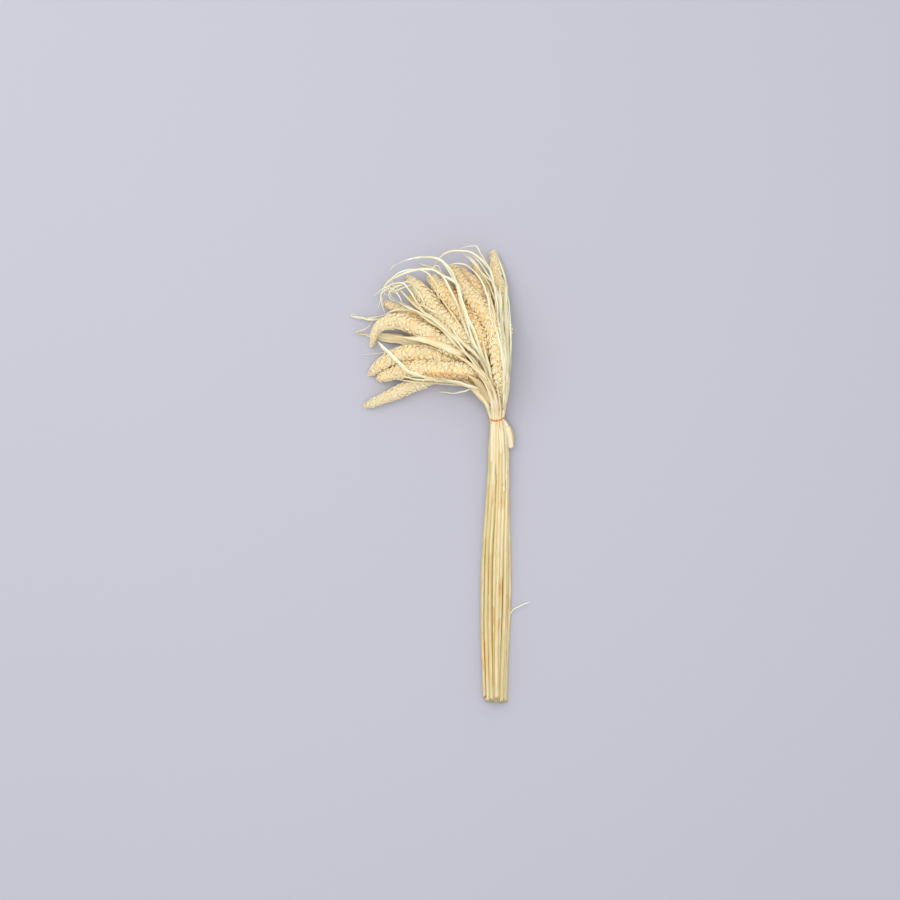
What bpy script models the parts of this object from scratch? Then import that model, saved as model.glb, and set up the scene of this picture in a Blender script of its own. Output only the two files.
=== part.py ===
"""A bundle of dried foxtail millet: eighteen stalks tied once below their heads and laid on a flat surface.

Each stalk is a straw stem that carries one dense, curving seed head. Dry leaf blades stand out of the stems,
nearly all above the tie. The heads fan to the left (-X) and away from the cut ends (+Y), layer over layer.
The paths are first drawn as smooth curves, and then settled: strands that are too close push each other
apart, sink until they lie on each other or on the surface, and stay inside the loop of the tie.
"""

import bpy
import numpy as np
from math import cos, pi, radians, sin, sqrt
from mathutils import Vector

MM = 0.001

# Stems, from the cut end up to the foot of the head
STEM_CUT = -402 * MM
STEM_CUT_SPREAD = 4 * MM
STEM_RADIUS = 2.45 * MM
STEM_RADIUS_TIE = 1.75 * MM
STEM_RADIUS_NECK = 1.5 * MM
STEM_BEVEL_RESOLUTION = 1
NECK_STEP = 13 * MM
SPAN_STEPS = 16

# Where the bundle of stems is drawn: distance from the tie, centre, and half sizes across and up
STATIONS = (
    (STEM_CUT, -2.6 * MM, 11.6 * MM, 8.0 * MM),
    (-372 * MM, -2.7 * MM, 12.6 * MM, 7.4 * MM),
    (-335 * MM, -2.7 * MM, 14.2 * MM, 6.6 * MM),
    (-300 * MM, -2.4 * MM, 15.6 * MM, 5.8 * MM),
    (-265 * MM, -1.9 * MM, 16.4 * MM, 5.4 * MM),
    (-225 * MM, -1.4 * MM, 16.6 * MM, 5.3 * MM),
    (-187 * MM, -0.8 * MM, 15.6 * MM, 5.6 * MM),
    (-150 * MM, 0.4 * MM, 14.4 * MM, 6.2 * MM),
    (-112 * MM, 1.6 * MM, 13.0 * MM, 6.9 * MM),
    (-74 * MM, 2.4 * MM, 11.8 * MM, 7.6 * MM),
    (-40 * MM, 2.2 * MM, 10.4 * MM, 8.4 * MM),
    (-20 * MM, 1.0 * MM, 9.0 * MM, 8.6 * MM),
)

# The tie, a thin elastic cord round the stems. It leans, so its upper side lies nearer to the cut ends
TIE_CORD_RADIUS = 0.85 * MM
TIE_INNER = 9.9 * MM
TIE_LEAN = radians(14)
TIE_TURN = radians(8)
TIE_SEGMENTS = 28
WAIST = 6.5 * MM
TIE_HEIGHT = TIE_INNER + 2 * TIE_CORD_RADIUS + 0.3 * MM

# Seed heads. Their rings of lobes are staggered, so each lobe is a low pyramid
HEAD_SIDES = 10
HEAD_RING_STEP = 7.4 * MM
LOBE_DEPTH = 1.7 * MM
HEAD_FOOT_RADIUS = 2.6 * MM
HEAD_NECK_SHARE = 0.6
HEAD_NECK_END = 0.2
HEAD_TIP_SHARE = 0.58
HEAD_TIP_START = 0.68
HEAD_TIP_ROOM = 0.8 * MM
HEAD_UNEVEN = 0.05
LOBE_SLIDE = 0.9 * MM
JOINT_GAP = 0.4 * MM
JOINT_REACH = 2.5 * MM

# Leaf blades
BLADE_THICKNESS = 0.7 * MM
BLADE_KEEL = 0.28
BLADE_FOOT_RADIUS = 1.0 * MM
BLADE_TIP_RADIUS = 0.5 * MM
BLADE_RING_STEP = 13 * MM
BLADE_OPENS_BY = 0.25
BLADE_EDGE = 0.8
BROAD_BLADE = 3.6
SEAT_RANGE = (0.15, 0.85)
SEAT_CROWD = 6 * MM
SEAT_LIFT = 3 * MM
SEAT_PULL_POWER = 6
ROLL_NARROW = radians(26)
ROLL_BROAD = radians(10)

# Room between any two strands once they are settled
CLEARANCE = 0.42 * MM

# Every head as the places that its middle line passes, foot to tip, in mm from the tie, and its half width
HEADS = {
    "a": (9.2, ((5, 90, 31), (2, 130, 34), (0, 165, 33), (-3.5, 205, 30), (-6, 241, 28))),
    "b": (10.2, ((-4, 98, 34), (-14, 149, 38), (-21, 168, 38), (-31, 189, 37), (-44, 204, 35),
          (-56, 215, 33))),
    "c": (11.2, ((5, 24, 20), (2, 53, 33), (-7, 99, 48), (-20, 145, 52), (-45, 181, 50), (-65, 218, 46))),
    "d": (10.0, ((-4, 96, 17), (-12, 140, 15), (-21, 190, 13), (-32, 222, 12))),
    "e": (10.4, ((-19, 90, 22), (-33, 122, 20), (-47, 151, 17), (-60, 174, 15), (-73, 193, 13))),
    "f": (11.8, ((-23, 83, 38), (-35, 109, 41), (-51, 142, 41), (-71, 171, 38), (-99, 206, 33))),
    "g": (11.0, ((-32, 97, 34), (-56, 130, 36), (-81, 151, 36), (-105, 179, 34), (-129, 204, 31))),
    "h": (10.0, ((-38, 88, 22), (-53, 108, 20), (-81, 137, 17), (-108, 160, 14), (-127, 175, 12))),
    "i": (9.4, ((-55, 93, 18), (-81, 114, 14), (-124, 145, 11), (-151, 161, 10), (-162, 167, 10))),
    "j": (11.2, ((-42, 83, 32), (-69, 110, 33), (-100, 126, 32), (-142, 140, 30), (-169, 130, 28),
          (-180, 101, 26))),
    "k": (11.0, ((-44, 77, 26), (-66, 88, 27), (-88, 93, 26), (-115, 92, 25), (-150, 83, 23),
          (-183, 62, 20))),
    "l": (11.4, ((-28, 66, 32), (-46, 75, 35), (-69, 79, 36), (-97, 77, 34), (-130, 73, 32),
          (-173, 57, 28))),
    "m": (10.2, ((-15, 44, 13), (-28, 60, 14), (-50, 71, 14), (-88, 73, 13), (-118, 61, 12),
          (-150, 40, 10), (-190, 17, 9))),
    "n": (8.0, ((-36, 76, 10), (-74, 94, 9), (-112, 96, 9), (-146, 86, 9))),
    "o": (8.0, ((-42, 77, 12), (-76, 104, 10), (-108, 122, 9), (-141, 133, 9))),
    "p": (8.2, ((-27, 86, 12), (-57, 132, 10), (-81, 160, 9), (-107, 184, 9))),
    "q": (8.2, ((-5, 72, 10), (-20, 118, 9), (-36, 156, 9), (-52, 186, 9))),
    "r": (8.2, ((-12, 66, 22), (-30, 97, 26), (-50, 126, 27), (-72, 152, 26))),
}

# Every leaf blade the same way, foot to tip, with its half width and the share of its length at which it
# starts to narrow. The foot is drawn in to the nearest stem
BLADES = {
    "01": (2.7, 0.5, ((-10, 58, 50), (-28, 98, 62), (-39, 132, 66), (-50, 164, 66), (-60, 195, 62),
          (-69, 210, 58), (-77, 221, 54), (-90, 226, 50), (-106, 229, 46), (-124, 227, 42),
          (-143, 221, 36))),
    "02": (2.3, 0.55, ((3, 84, 44), (2, 125, 50), (0, 168, 52), (-9, 195, 52), (-15, 214, 51),
          (-25, 226, 50), (-36, 235, 48), (-56, 238, 46), (-73, 236, 43), (-84, 226, 40),
          (-91, 213, 38))),
    "03": (1.7, 0.5, ((4, 96, 48), (0, 154, 56), (-6, 196, 57), (-14, 219, 56), (-24, 235, 54),
          (-28, 244, 52), (-41, 244, 50), (-55, 241, 47))),
    "04": (2.5, 0.5, ((7, 104, 46), (3, 150, 50), (-2, 186, 50), (-14, 199, 52), (-27, 213, 53),
          (-37, 224, 52), (-49, 235, 50))),
    "05": (2.8, 0.45, ((0, 92, 52), (-6, 135, 60), (-12, 163, 58), (-18, 181, 56), (-25, 199, 54),
          (-36, 211, 52), (-47, 219, 51), (-56, 220, 50), (-72, 218, 48))),
    "06": (4.0, 0.35, ((8, 48, 34), (7, 97, 44), (4, 125, 46), (1, 163, 46), (-3, 182, 45),
          (-7, 200, 44))),
    "07": (1.6, 0.5, ((12, 112, 30), (12, 161, 32), (11, 190, 33), (8, 208, 34), (4, 221, 34),
          (-1, 238, 34))),
    "08": (2.8, 0.45, ((12, 34, 20), (15, 69, 22), (15, 104, 22), (13, 140, 22), (11, 168, 22),
          (10, 187, 22))),
    "09": (2.8, 0.5, ((9, 36, 12), (13, 62, 9), (13, 100, 8), (11, 140, 8), (9, 172, 8))),
    "10": (3.3, 0.4, ((-8, 44, 46), (-19, 69, 54), (-33, 90, 60), (-60, 116, 60), (-87, 138, 56),
          (-111, 156, 52), (-127, 171, 48), (-141, 187, 44))),
    "11": (3.0, 0.5, ((-12, 48, 44), (-32, 77, 52), (-60, 103, 54), (-81, 126, 54), (-97, 138, 52),
          (-121, 155, 48), (-145, 170, 42))),
    "12": (2.5, 0.5, ((-16, 76, 52), (-42, 126, 60), (-62, 176, 58), (-82, 207, 54), (-103, 212, 50),
          (-124, 209, 46), (-138, 204, 43), (-152, 197, 40), (-161, 187, 37), (-164, 177, 34),
          (-167, 164, 31))),
    "13": (6.0, 0.72, ((-24, 62, 20), (-42, 82, 20), (-60, 94, 19), (-81, 103, 18), (-103, 107, 17),
          (-124, 110, 16), (-145, 115, 14), (-169, 117, 12), (-203, 123, 10))),
    "14": (3.2, 0.5, ((-12, 36, 36), (-42, 52, 40), (-70, 57, 42), (-97, 60, 42), (-123, 64, 43),
          (-134, 70, 46), (-143, 84, 45), (-155, 97, 42), (-171, 110, 38))),
    "15": (2.3, 0.5, ((-10, 32, 26), (-42, 46, 24), (-79, 52, 26), (-115, 56, 24), (-149, 56, 20))),
    "16": (1.3, 0.4, ((-5, 24, 22), (-13, 40, 26), (-25, 46, 26), (-42, 42, 24), (-60, 38, 20),
          (-87, 39, 15))),
    "17": (4.6, 0.5, ((-1, 20, 32), (-8, 40, 42), (-18, 58, 50), (-32, 71, 56), (-53, 83, 58))),
    "18": (4.0, 0.8, ((9, -7, 16), (14, -8, 18), (18.5, -14, 19), (20.5, -22, 18), (21, -31, 16),
          (19, -40, 14), (16, -46, 12))),
    "19": (2.2, 0.5, ((-22, 74, 20), (-60, 111, 22), (-103, 140, 20), (-138, 151, 18), (-169, 143, 16),
          (-192, 142, 14), (-209, 146, 12))),
    "20": (2.2, 0.5, ((-30, 84, 44), (-70, 126, 50), (-104, 152, 52), (-122, 178, 48), (-136, 194, 44),
          (-160, 186, 38), (-178, 175, 32))),
    "21": (1.0, 0.5, ((13, -292, 7), (16, -284, 8), (18.5, -276, 8), (26.6, -271.4, 7), (33, -267.7, 6),
          (44, -264.8, 4))),
    "22": (2.6, 0.5, ((11, 46, 30), (13, 84, 34), (11, 128, 36), (9, 158, 35))),
    "23": (4.2, 0.5, ((-8.5, 8, 22), (-14, 20, 27), (-24, 35, 32), (-39, 50, 36), (-56, 60, 38))),
}

# How the strands settle: first softly, sinking and bending together, and then only clearing each other
SETTLE_ROUNDS = 700
TIDY_ROUNDS = 500
LOOK_EVERY = 10
LOOK_AHEAD = 6 * MM
SINK_STEP = 0.06 * MM
HOLD_DRAWN_PLACE = 0.012
SOFT_PUSH = 0.9
SOFT_PUSH_SIDEWAYS = 0.75
BEND_TOGETHER = 0.5
BEND_TOGETHER_LATE = 0.15
FLOOR_GAP = 0.1 * MM

# A stem is six-sided with one side down, so it lies lower than its half width
FLAT_DOWN = cos(pi / 6)

# Colours, linear
STRAW = (0.80, 0.69, 0.46)
BLADE_STRAW = (0.84, 0.78, 0.60)
GRAIN = (0.82, 0.64, 0.37)
CORD_ORANGE = (0.72, 0.30, 0.08)


def ease(x):
    """0 below 0, 1 above 1, and a smooth rise between them."""
    x = np.clip(x, 0, 1)
    return x * x * (3 - 2 * x)


def smooth_path(points):
    """A dense curve through the points, by centripetal Catmull-Rom spans."""
    points = np.asarray(points, float)
    ends = np.vstack([2 * points[0] - points[1], points, 2 * points[-1] - points[-2]])
    dense = []
    for k in range(len(points) - 1):
        p0, p1, p2, p3 = ends[k : k + 4]
        t1 = sqrt(np.linalg.norm(p1 - p0))
        t2 = t1 + sqrt(np.linalg.norm(p2 - p1))
        t3 = t2 + sqrt(np.linalg.norm(p3 - p2))
        for t in np.linspace(t1, t2, SPAN_STEPS, endpoint=False):
            a1 = p0 + (p1 - p0) * t / t1
            a2 = p1 + (p2 - p1) * (t - t1) / (t2 - t1)
            a3 = p2 + (p3 - p2) * (t - t2) / (t3 - t2)
            b1 = a1 + (a2 - a1) * t / t2
            b2 = a2 + (a3 - a2) * (t - t1) / (t3 - t1)
            dense.append(b1 + (b2 - b1) * (t - t1) / (t2 - t1))
    return np.array(dense + [points[-1]])


def spaced(curve, step):
    """The curve as points about one step apart, both ends kept."""
    along = np.concatenate([[0], np.cumsum(np.linalg.norm(np.diff(curve, axis=0), axis=1))])
    places = np.linspace(0, along[-1], max(2, round(along[-1] / step) + 1))
    return np.column_stack([np.interp(places, along, curve[:, k]) for k in range(3)])


def sunflower_slots(count):
    """Places spread evenly over a round disc of radius 1."""
    turn = pi * (3 - sqrt(5))
    reach = np.sqrt((np.arange(count) + 0.5) / count)
    angle = np.arange(count) * turn
    return np.column_stack([reach * np.cos(angle), reach * np.sin(angle)])


def slots_for(heads):
    """One slot in the bundle for each head: left heads get left slots, and upper heads upper ones."""
    slots = sunflower_slots(len(heads))
    rows = 4
    by_side = np.argsort(slots[:, 0])
    wanted = {name: np.mean(path, axis=0) for name, (_, path) in heads.items()}
    names = sorted(heads, key=lambda name: wanted[name][0])
    chosen = {}
    for first in range(0, len(names), rows):
        column = sorted(by_side[first : first + rows], key=lambda k: slots[k, 1])
        group = sorted(names[first : first + rows], key=lambda name: wanted[name][2])
        chosen.update(zip(group, slots[column]))
    return chosen


def head_radius(share, widest):
    """Half width of a head, from its foot at 0 to its blunt tip at 1."""
    foot = HEAD_NECK_SHARE + (1 - HEAD_NECK_SHARE) * ease(share / HEAD_NECK_END)
    closing = ease((share - HEAD_TIP_START) / (1 - HEAD_TIP_START))
    return widest * foot * (1 - (1 - HEAD_TIP_SHARE) * closing)


class Strand:
    """One stem with its head, or one blade: a chain of points with a half width and half height at each."""

    def __init__(self, name, points, across, up):
        self.name = name
        self.points = np.array(points, float)
        self.across = np.array(across, float)
        self.up = np.array(up, float)
        self.foot_at = None
        self.waist = None
        self.roll = None


def draw_stalk(name, widest, path, slot, cut):
    """A stalk as first drawn: through its slot in the bundle and the tie, then up its head."""
    below = []
    for y, x, half_across, half_up in STATIONS:
        start = y + (cut if y == STEM_CUT else 0)
        height = half_up + STEM_RADIUS + CLEARANCE
        below.append((x + slot[0] * half_across, start, height + slot[1] * half_up))
    inside = TIE_INNER - STEM_RADIUS_TIE - CLEARANCE / 2
    waist = [(slot[0] * inside, y, TIE_HEIGHT + slot[1] * inside) for y in (-WAIST, WAIST)]
    head = np.array(path) * MM
    curve = smooth_path(np.vstack([waist, head]))
    neck_curve = curve[SPAN_STEPS : 2 * SPAN_STEPS + 1]
    head_curve = curve[2 * SPAN_STEPS :]
    neck = spaced(neck_curve, NECK_STEP)[1:-1]
    head_points = spaced(head_curve, HEAD_RING_STEP)
    points = np.vstack([below, waist, neck, head_points])
    stem_count = len(below) + 2 + len(neck)
    stem = np.full(stem_count, STEM_RADIUS_NECK)
    stem[: len(below)] = STEM_RADIUS
    stem[len(below) - 1 : len(below) + 2] = STEM_RADIUS_TIE
    share = np.linspace(0, 1, len(head_points))
    head_sizes = head_radius(share, widest * MM)
    head_sizes[0] = HEAD_FOOT_RADIUS
    head_sizes[-1] = HEAD_TIP_ROOM
    sizes = np.concatenate([stem, head_sizes])
    strand = Strand("stalk_" + name, points, sizes, sizes)
    strand.foot_at = stem_count
    strand.waist = [len(below), len(below) + 1]
    return strand


def blade_width(share, widest, narrows_from):
    """Half width of a blade, from its foot at 0 to its tip at 1."""
    opening = BLADE_FOOT_RADIUS + (widest - BLADE_FOOT_RADIUS) * ease(share / BLADE_OPENS_BY)
    closing = ease((share - narrows_from) / (1 - narrows_from))
    return opening * (1 - closing) + BLADE_TIP_RADIUS * closing


def draw_blade(name, widest, narrows_from, path, rng):
    """A leaf blade as first drawn. It lies nearly flat, so it needs less room above than beside it."""
    points = spaced(smooth_path(np.array(path) * MM), BLADE_RING_STEP)
    share = np.linspace(0, 1, len(points))
    across = blade_width(share, widest * MM, narrows_from)
    most_roll = ROLL_BROAD if widest > BROAD_BLADE else ROLL_NARROW
    up = BLADE_THICKNESS + (BLADE_KEEL + sin(most_roll)) * across
    up = np.minimum(across, up)
    up[0] = BLADE_FOOT_RADIUS
    strand = Strand("leaf_" + name, points, across, up)
    waves = rng.uniform(1.5, 3.0)
    strand.roll = most_roll * np.sin(2 * pi * (waves * share + rng.uniform())) * ease(share / 0.15)
    return strand


def nearest_places(p, u, q, v):
    """Where segments p + s u and q + t v come closest, as s and t from 0 to 1."""
    w = p - q
    uu, uv, vv = (u * u).sum(1), (u * v).sum(1), (v * v).sum(1)
    uw, vw = (u * w).sum(1), (v * w).sum(1)
    spread = uu * vv - uv * uv
    level = spread < 1e-5 * uu * vv
    s = np.where(level, 0.5, (uv * vw - vv * uw) / np.where(level, 1, spread))
    s = np.clip(s, 0, 1)
    t = np.clip((uv * s + vw) / vv, 0, 1)
    return np.clip((uv * t - uw) / uu, 0, 1), t


class Bundle:
    """All strands in single arrays, with the steps that settle them."""

    def __init__(self, strands):
        self.strands = strands
        self.points = np.vstack([s.points for s in strands])
        self.drawn = self.points.copy()
        self.across = np.concatenate([s.across for s in strands])
        self.up = np.concatenate([s.up for s in strands])
        starts = np.cumsum([0] + [len(s.points) for s in strands])
        self.ranges = list(zip(starts[:-1], starts[1:]))
        self.owner = np.concatenate([np.full(b - a, k) for k, (a, b) in enumerate(self.ranges)])
        inner = [np.arange(a, b - 1) for a, b in self.ranges]
        self.first = np.concatenate(inner)
        stalks = [(s, a) for s, (a, _) in zip(strands, self.ranges) if s.foot_at]
        self.waist = np.array([a + w for s, a in stalks for w in s.waist])
        self.floor = self.up + FLOOR_GAP
        for s, (a, b) in zip(strands, self.ranges):
            if s.foot_at:
                self.floor[a : a + s.foot_at] = s.up[: s.foot_at] * FLAT_DOWN
        self.seats = []

    def seat_blades(self):
        """Finds a near stem segment for each blade's foot, which the foot then stays on."""
        stem_first = np.array([a + k for s, (a, _) in zip(self.strands, self.ranges) if s.foot_at
                               for k in range(s.foot_at - 1)])
        taken = {}
        for s, (a, b) in zip(self.strands, self.ranges):
            if s.foot_at:
                continue
            start, step = self.points[stem_first], self.points[stem_first + 1] - self.points[stem_first]
            share = ((self.points[a] - start) * step).sum(1) / (step * step).sum(1)
            share = np.clip(share, *SEAT_RANGE)
            near = np.linalg.norm(start + step * share[:, None] - self.points[a], axis=1)
            crowd = np.array([taken.get(k, 0) for k in stem_first]) * SEAT_CROWD
            best = np.argmin(near + crowd)
            taken[stem_first[best]] = taken.get(stem_first[best], 0) + 1
            self.seats.append((a, stem_first[best], share[best]))
            seat = start[best] + step[best] * share[best]
            pull = np.linspace(1, 0, b - a)[:, None] ** SEAT_PULL_POWER
            self.points[a:b] += pull * (seat + (0, 0, SEAT_LIFT) - self.points[a])
        self.drawn = self.points.copy()

    def close_pairs(self):
        """Pairs of segments of different strands that could meet before the next look."""
        start, end = self.points[self.first], self.points[self.first + 1]
        middle = (start + end) / 2
        reach = np.linalg.norm(end - start, axis=1) / 2
        reach += np.maximum(self.across[self.first], self.across[self.first + 1])
        away = np.linalg.norm(middle[:, None] - middle[None], axis=2)
        near = away < reach[:, None] + reach[None] + LOOK_AHEAD
        near &= self.owner[self.first][:, None] < self.owner[self.first][None]
        return np.nonzero(near)

    def push_apart(self, pairs, soft):
        """One round in which strands that are too close move apart. It returns the worst overlap."""
        i, j = self.first[pairs[0]], self.first[pairs[1]]
        pts, across, up = self.points, self.across, self.up
        p, u, q, v = pts[i], pts[i + 1] - pts[i], pts[j], pts[j + 1] - pts[j]
        s, t = nearest_places(p, u, q, v)
        wide = across[i] * (1 - s) + across[i + 1] * s + across[j] * (1 - t) + across[j + 1] * t + CLEARANCE
        tall = up[i] * (1 - s) + up[i + 1] * s + up[j] * (1 - t) + up[j + 1] * t + CLEARANCE
        squeeze = np.ones((len(i), 3))
        squeeze[:, 2] = wide / tall
        s, t = nearest_places(p * squeeze, u * squeeze, q * squeeze, v * squeeze)
        wide = across[i] * (1 - s) + across[i + 1] * s + across[j] * (1 - t) + across[j + 1] * t + CLEARANCE
        between = (p + u * s[:, None] - q - v * t[:, None]) * squeeze
        away = np.linalg.norm(between, axis=1) + 1e-9
        overlap = wide - away
        hit = overlap > 0
        if not hit.any():
            return 0.0
        i, j, s, t = i[hit], j[hit], s[hit, None], t[hit, None]
        step = (between[hit] / away[hit, None]) * overlap[hit, None] / squeeze[hit]
        if soft:
            step *= (SOFT_PUSH_SIDEWAYS, SOFT_PUSH_SIDEWAYS, 1.0)
        move, count = np.zeros_like(pts), np.zeros(len(pts))
        for ends, weight, sign in ((i, 1 - s, 1), (i + 1, s, 1), (j, 1 - t, -1), (j + 1, t, -1)):
            share = weight / ((1 - weight) ** 2 + weight**2)
            np.add.at(move, ends, sign * 0.5 * share * step)
            np.add.at(count, ends, weight[:, 0])
        pts += move / np.maximum(count, 1)[:, None] * (SOFT_PUSH if soft else 1.0)
        return float(overlap.max())

    def smooth(self, amount):
        """Spreads each strand's move from its drawn place along the strand, so it bends and doesn't kink."""
        shift = self.points - self.drawn
        for a, b in self.ranges:
            gap = np.linalg.norm(np.diff(self.drawn[a:b], axis=0), axis=1)
            pull = 1 / np.maximum(gap, 1 * MM)
            inner = shift[a : b - 2] * pull[:-1, None] + shift[a + 2 : b] * pull[1:, None]
            inner /= (pull[:-1] + pull[1:])[:, None]
            shift[a + 1 : b - 1] += amount * (inner - shift[a + 1 : b - 1])
        self.points = self.drawn + shift

    def keep_in_tie(self):
        """Stems stay inside the loop of the tie, at their drawn distance along the bundle."""
        w = self.waist
        self.points[w, 1] = self.drawn[w, 1]
        flat = self.points[w][:, [0, 2]] - (0, TIE_HEIGHT)
        most = TIE_INNER - self.across[w] - 0.1 * MM
        out = np.maximum(1, np.linalg.norm(flat, axis=1) / most)
        self.points[w, 0] = flat[:, 0] / out
        self.points[w, 2] = TIE_HEIGHT + flat[:, 1] / out

    def keep_blades_seated(self):
        for foot, stem, share in self.seats:
            seat = self.points[stem] * (1 - share) + self.points[stem + 1] * share
            run = self.points[stem + 1] - self.points[stem]
            run /= np.linalg.norm(run)
            out = self.points[foot] - seat
            out -= run * (out @ run)
            room = self.across[stem] * (1 - share) + self.across[stem + 1] * share
            room += self.across[foot] + CLEARANCE
            self.points[foot] = seat + out / (np.linalg.norm(out) + 1e-9) * room

    def keep_above_floor(self):
        self.points[:, 2] = np.maximum(self.points[:, 2], self.floor)

    def settle(self):
        for k in range(SETTLE_ROUNDS):
            if k % LOOK_EVERY == 0:
                pairs = self.close_pairs()
            left = 1 - k / SETTLE_ROUNDS
            self.points[:, 2] -= SINK_STEP * left
            hold = HOLD_DRAWN_PLACE * (self.drawn - self.points)
            hold[:, 2] = 0
            self.points += hold
            self.push_apart(pairs, soft=True)
            self.smooth(BEND_TOGETHER)
            self.keep_in_tie()
            self.keep_blades_seated()
            self.keep_above_floor()
        for k in range(TIDY_ROUNDS):
            if k % LOOK_EVERY == 0:
                pairs = self.close_pairs()
            worst = self.push_apart(pairs, soft=False)
            if k < TIDY_ROUNDS / 2:
                self.smooth(BEND_TOGETHER_LATE)
            self.keep_in_tie()
            self.keep_blades_seated()
            self.keep_above_floor()
        print(f"{len(self.strands)} strands settled, {worst / MM:.3f} mm of {CLEARANCE / MM} mm is missing")

    def settled(self):
        for s, (a, b) in zip(self.strands, self.ranges):
            s.points = self.points[a:b].copy()


def frames_along(points):
    """Direction, side and up at each point of a chain. Up stays as near to +Z as it can."""
    ahead = np.gradient(points, axis=0)
    ahead /= np.linalg.norm(ahead, axis=1)[:, None]
    side = np.cross(ahead, (0, 0, 1.0))
    side /= np.linalg.norm(side, axis=1)[:, None]
    return ahead, side, np.cross(side, ahead)


def straw_material(name, colour, roughness):
    material = bpy.data.materials.new(name)
    material.use_nodes = True
    shader = material.node_tree.nodes["Principled BSDF"]
    shader.inputs["Base Color"].default_value = (*colour, 1)
    shader.inputs["Roughness"].default_value = roughness
    shader.inputs["Metallic"].default_value = 0.0
    material.diffuse_color = (*colour, 1)
    return material


def add_object(name, data, material, collection):
    data.materials.append(material)
    obj = bpy.data.objects.new(name, data)
    collection.objects.link(obj)
    return obj


def tube_curve(name, points, radii, closed=False):
    """A tube along the points, with its own radius at each."""
    curve = bpy.data.curves.new(name, "CURVE")
    curve.dimensions = "3D"
    curve.twist_mode = "Z_UP"
    curve.bevel_depth = 1.0
    curve.bevel_resolution = STEM_BEVEL_RESOLUTION
    curve.use_fill_caps = not closed
    spline = curve.splines.new("POLY")
    spline.points.add(len(points) - 1)
    for target, place, radius in zip(spline.points, points, radii):
        target.co = (*place, 1)
        target.radius = radius
    spline.use_cyclic_u = closed
    return curve


def lofted_mesh(name, rings, tip, twin_faces=False):
    """A skin over rings of equal count. The foot is closed flat, and the far end runs to one point.

    The squares are split by turns one way and the other. With twin faces, the second half of each ring is
    the first half seen from behind, and is split along the same lines.
    """
    count = len(rings[0])
    places = [tuple(p) for ring in rings for p in ring] + [tuple(tip)]
    faces = [tuple(range(count))]
    for r in range(len(rings) - 1):
        for k in range(count):
            low, low_next = r * count + k, r * count + (k + 1) % count
            high, high_next = low + count, low_next + count
            turned = 1 if twin_faces and k >= count // 2 else 0
            if (r + k + turned) % 2 == 0:
                faces += [(low, high, low_next), (low_next, high, high_next)]
            else:
                faces += [(low, high_next, low_next), (low, high, high_next)]
    last = (len(rings) - 1) * count
    faces += [(last + k, len(places) - 1, last + (k + 1) % count) for k in range(count)]
    mesh = bpy.data.meshes.new(name)
    mesh.from_pydata(places, [], faces)
    mesh.validate()
    return mesh


def head_mesh(name, points, sizes, ahead, side, up, rng):
    """A seed head: rings of lobes along its line. Every second place of a ring is sunk, in turn.

    The lobes straight down reach all the way out, so that all low heads lie on the surface alike.
    """
    turn = np.arange(HEAD_SIDES) * 2 * pi / HEAD_SIDES - pi / 2
    straight_down = 0
    rings = []
    for k in range(len(points) - 1):
        sunk = (np.arange(HEAD_SIDES) + k) % 2 == 1
        depth = np.minimum(LOBE_DEPTH, 0.3 * sizes[k]) * rng.uniform(0.75, 1.0, HEAD_SIDES)
        radius = sizes[k] * rng.uniform(1 - HEAD_UNEVEN, 1, HEAD_SIDES) - np.where(sunk, depth, 0)
        slide = rng.uniform(-LOBE_SLIDE, LOBE_SLIDE, HEAD_SIDES)
        place = points[k]
        if k == 0:
            radius, slide = np.full(HEAD_SIDES, sizes[0]), np.zeros(HEAD_SIDES)
            place = place + ahead[0] * JOINT_GAP / 2
        if not sunk[straight_down]:
            radius[straight_down] = sizes[k]
        spokes = np.outer(np.cos(turn), side[k]) + np.outer(np.sin(turn), up[k])
        rings.append(place + spokes * radius[:, None] + np.outer(slide, ahead[k]))
    return lofted_mesh(name, rings, points[-1])


def blade_mesh(name, points, across, roll):
    """A leaf blade: a thin strip with a shallow keel, that rolls a little from side to side on its way."""
    _, level_side, level_up = frames_along(points)
    side = level_side * np.cos(roll)[:, None] + level_up * np.sin(roll)[:, None]
    up = level_up * np.cos(roll)[:, None] - level_side * np.sin(roll)[:, None]
    rings = []
    for k in range(len(points) - 1):
        wide = across[k]
        half = BLADE_THICKNESS / 2 if k else BLADE_FOOT_RADIUS
        keel = BLADE_KEEL * max(wide - BLADE_FOOT_RADIUS, 0)
        edge = half * BLADE_EDGE
        outline = ((-wide, keel - edge), (0, -half - keel / 2), (wide, keel - edge),
                   (wide, keel + edge), (0, half - keel / 2), (-wide, keel + edge))
        rings.append([points[k] + side[k] * a + up[k] * b for a, b in outline])
    return lofted_mesh(name, rings, points[-1], twin_faces=True)


def tie_points():
    """The loop of the tie, leaned towards the cut ends at its top and turned a little."""
    around = np.arange(TIE_SEGMENTS) * 2 * pi / TIE_SEGMENTS
    radius = (TIE_INNER + TIE_CORD_RADIUS) / cos(pi / TIE_SEGMENTS)
    x, z = radius * np.cos(around), radius * np.sin(around)
    y = -z * sin(TIE_LEAN) + x * sin(TIE_TURN)
    return np.column_stack([x, y, z + TIE_HEIGHT])


def centre_on_floor(collection):
    """Moves the whole bundle so that its box is centred on the origin and stands on z = 0."""
    graph = bpy.context.evaluated_depsgraph_get()
    meshes = [obj.evaluated_get(graph).to_mesh() for obj in collection.objects]
    places = np.vstack([[v.co for v in mesh.vertices] for mesh in meshes])
    low, high = places.min(0), places.max(0)
    shift = Vector((-(low[0] + high[0]) / 2, -(low[1] + high[1]) / 2, -low[2]))
    for obj in collection.objects:
        obj.location = shift
    print("box", np.round((high - low) / MM, 1), "mm, moved by", [round(x / MM, 2) for x in shift], "mm")


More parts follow.
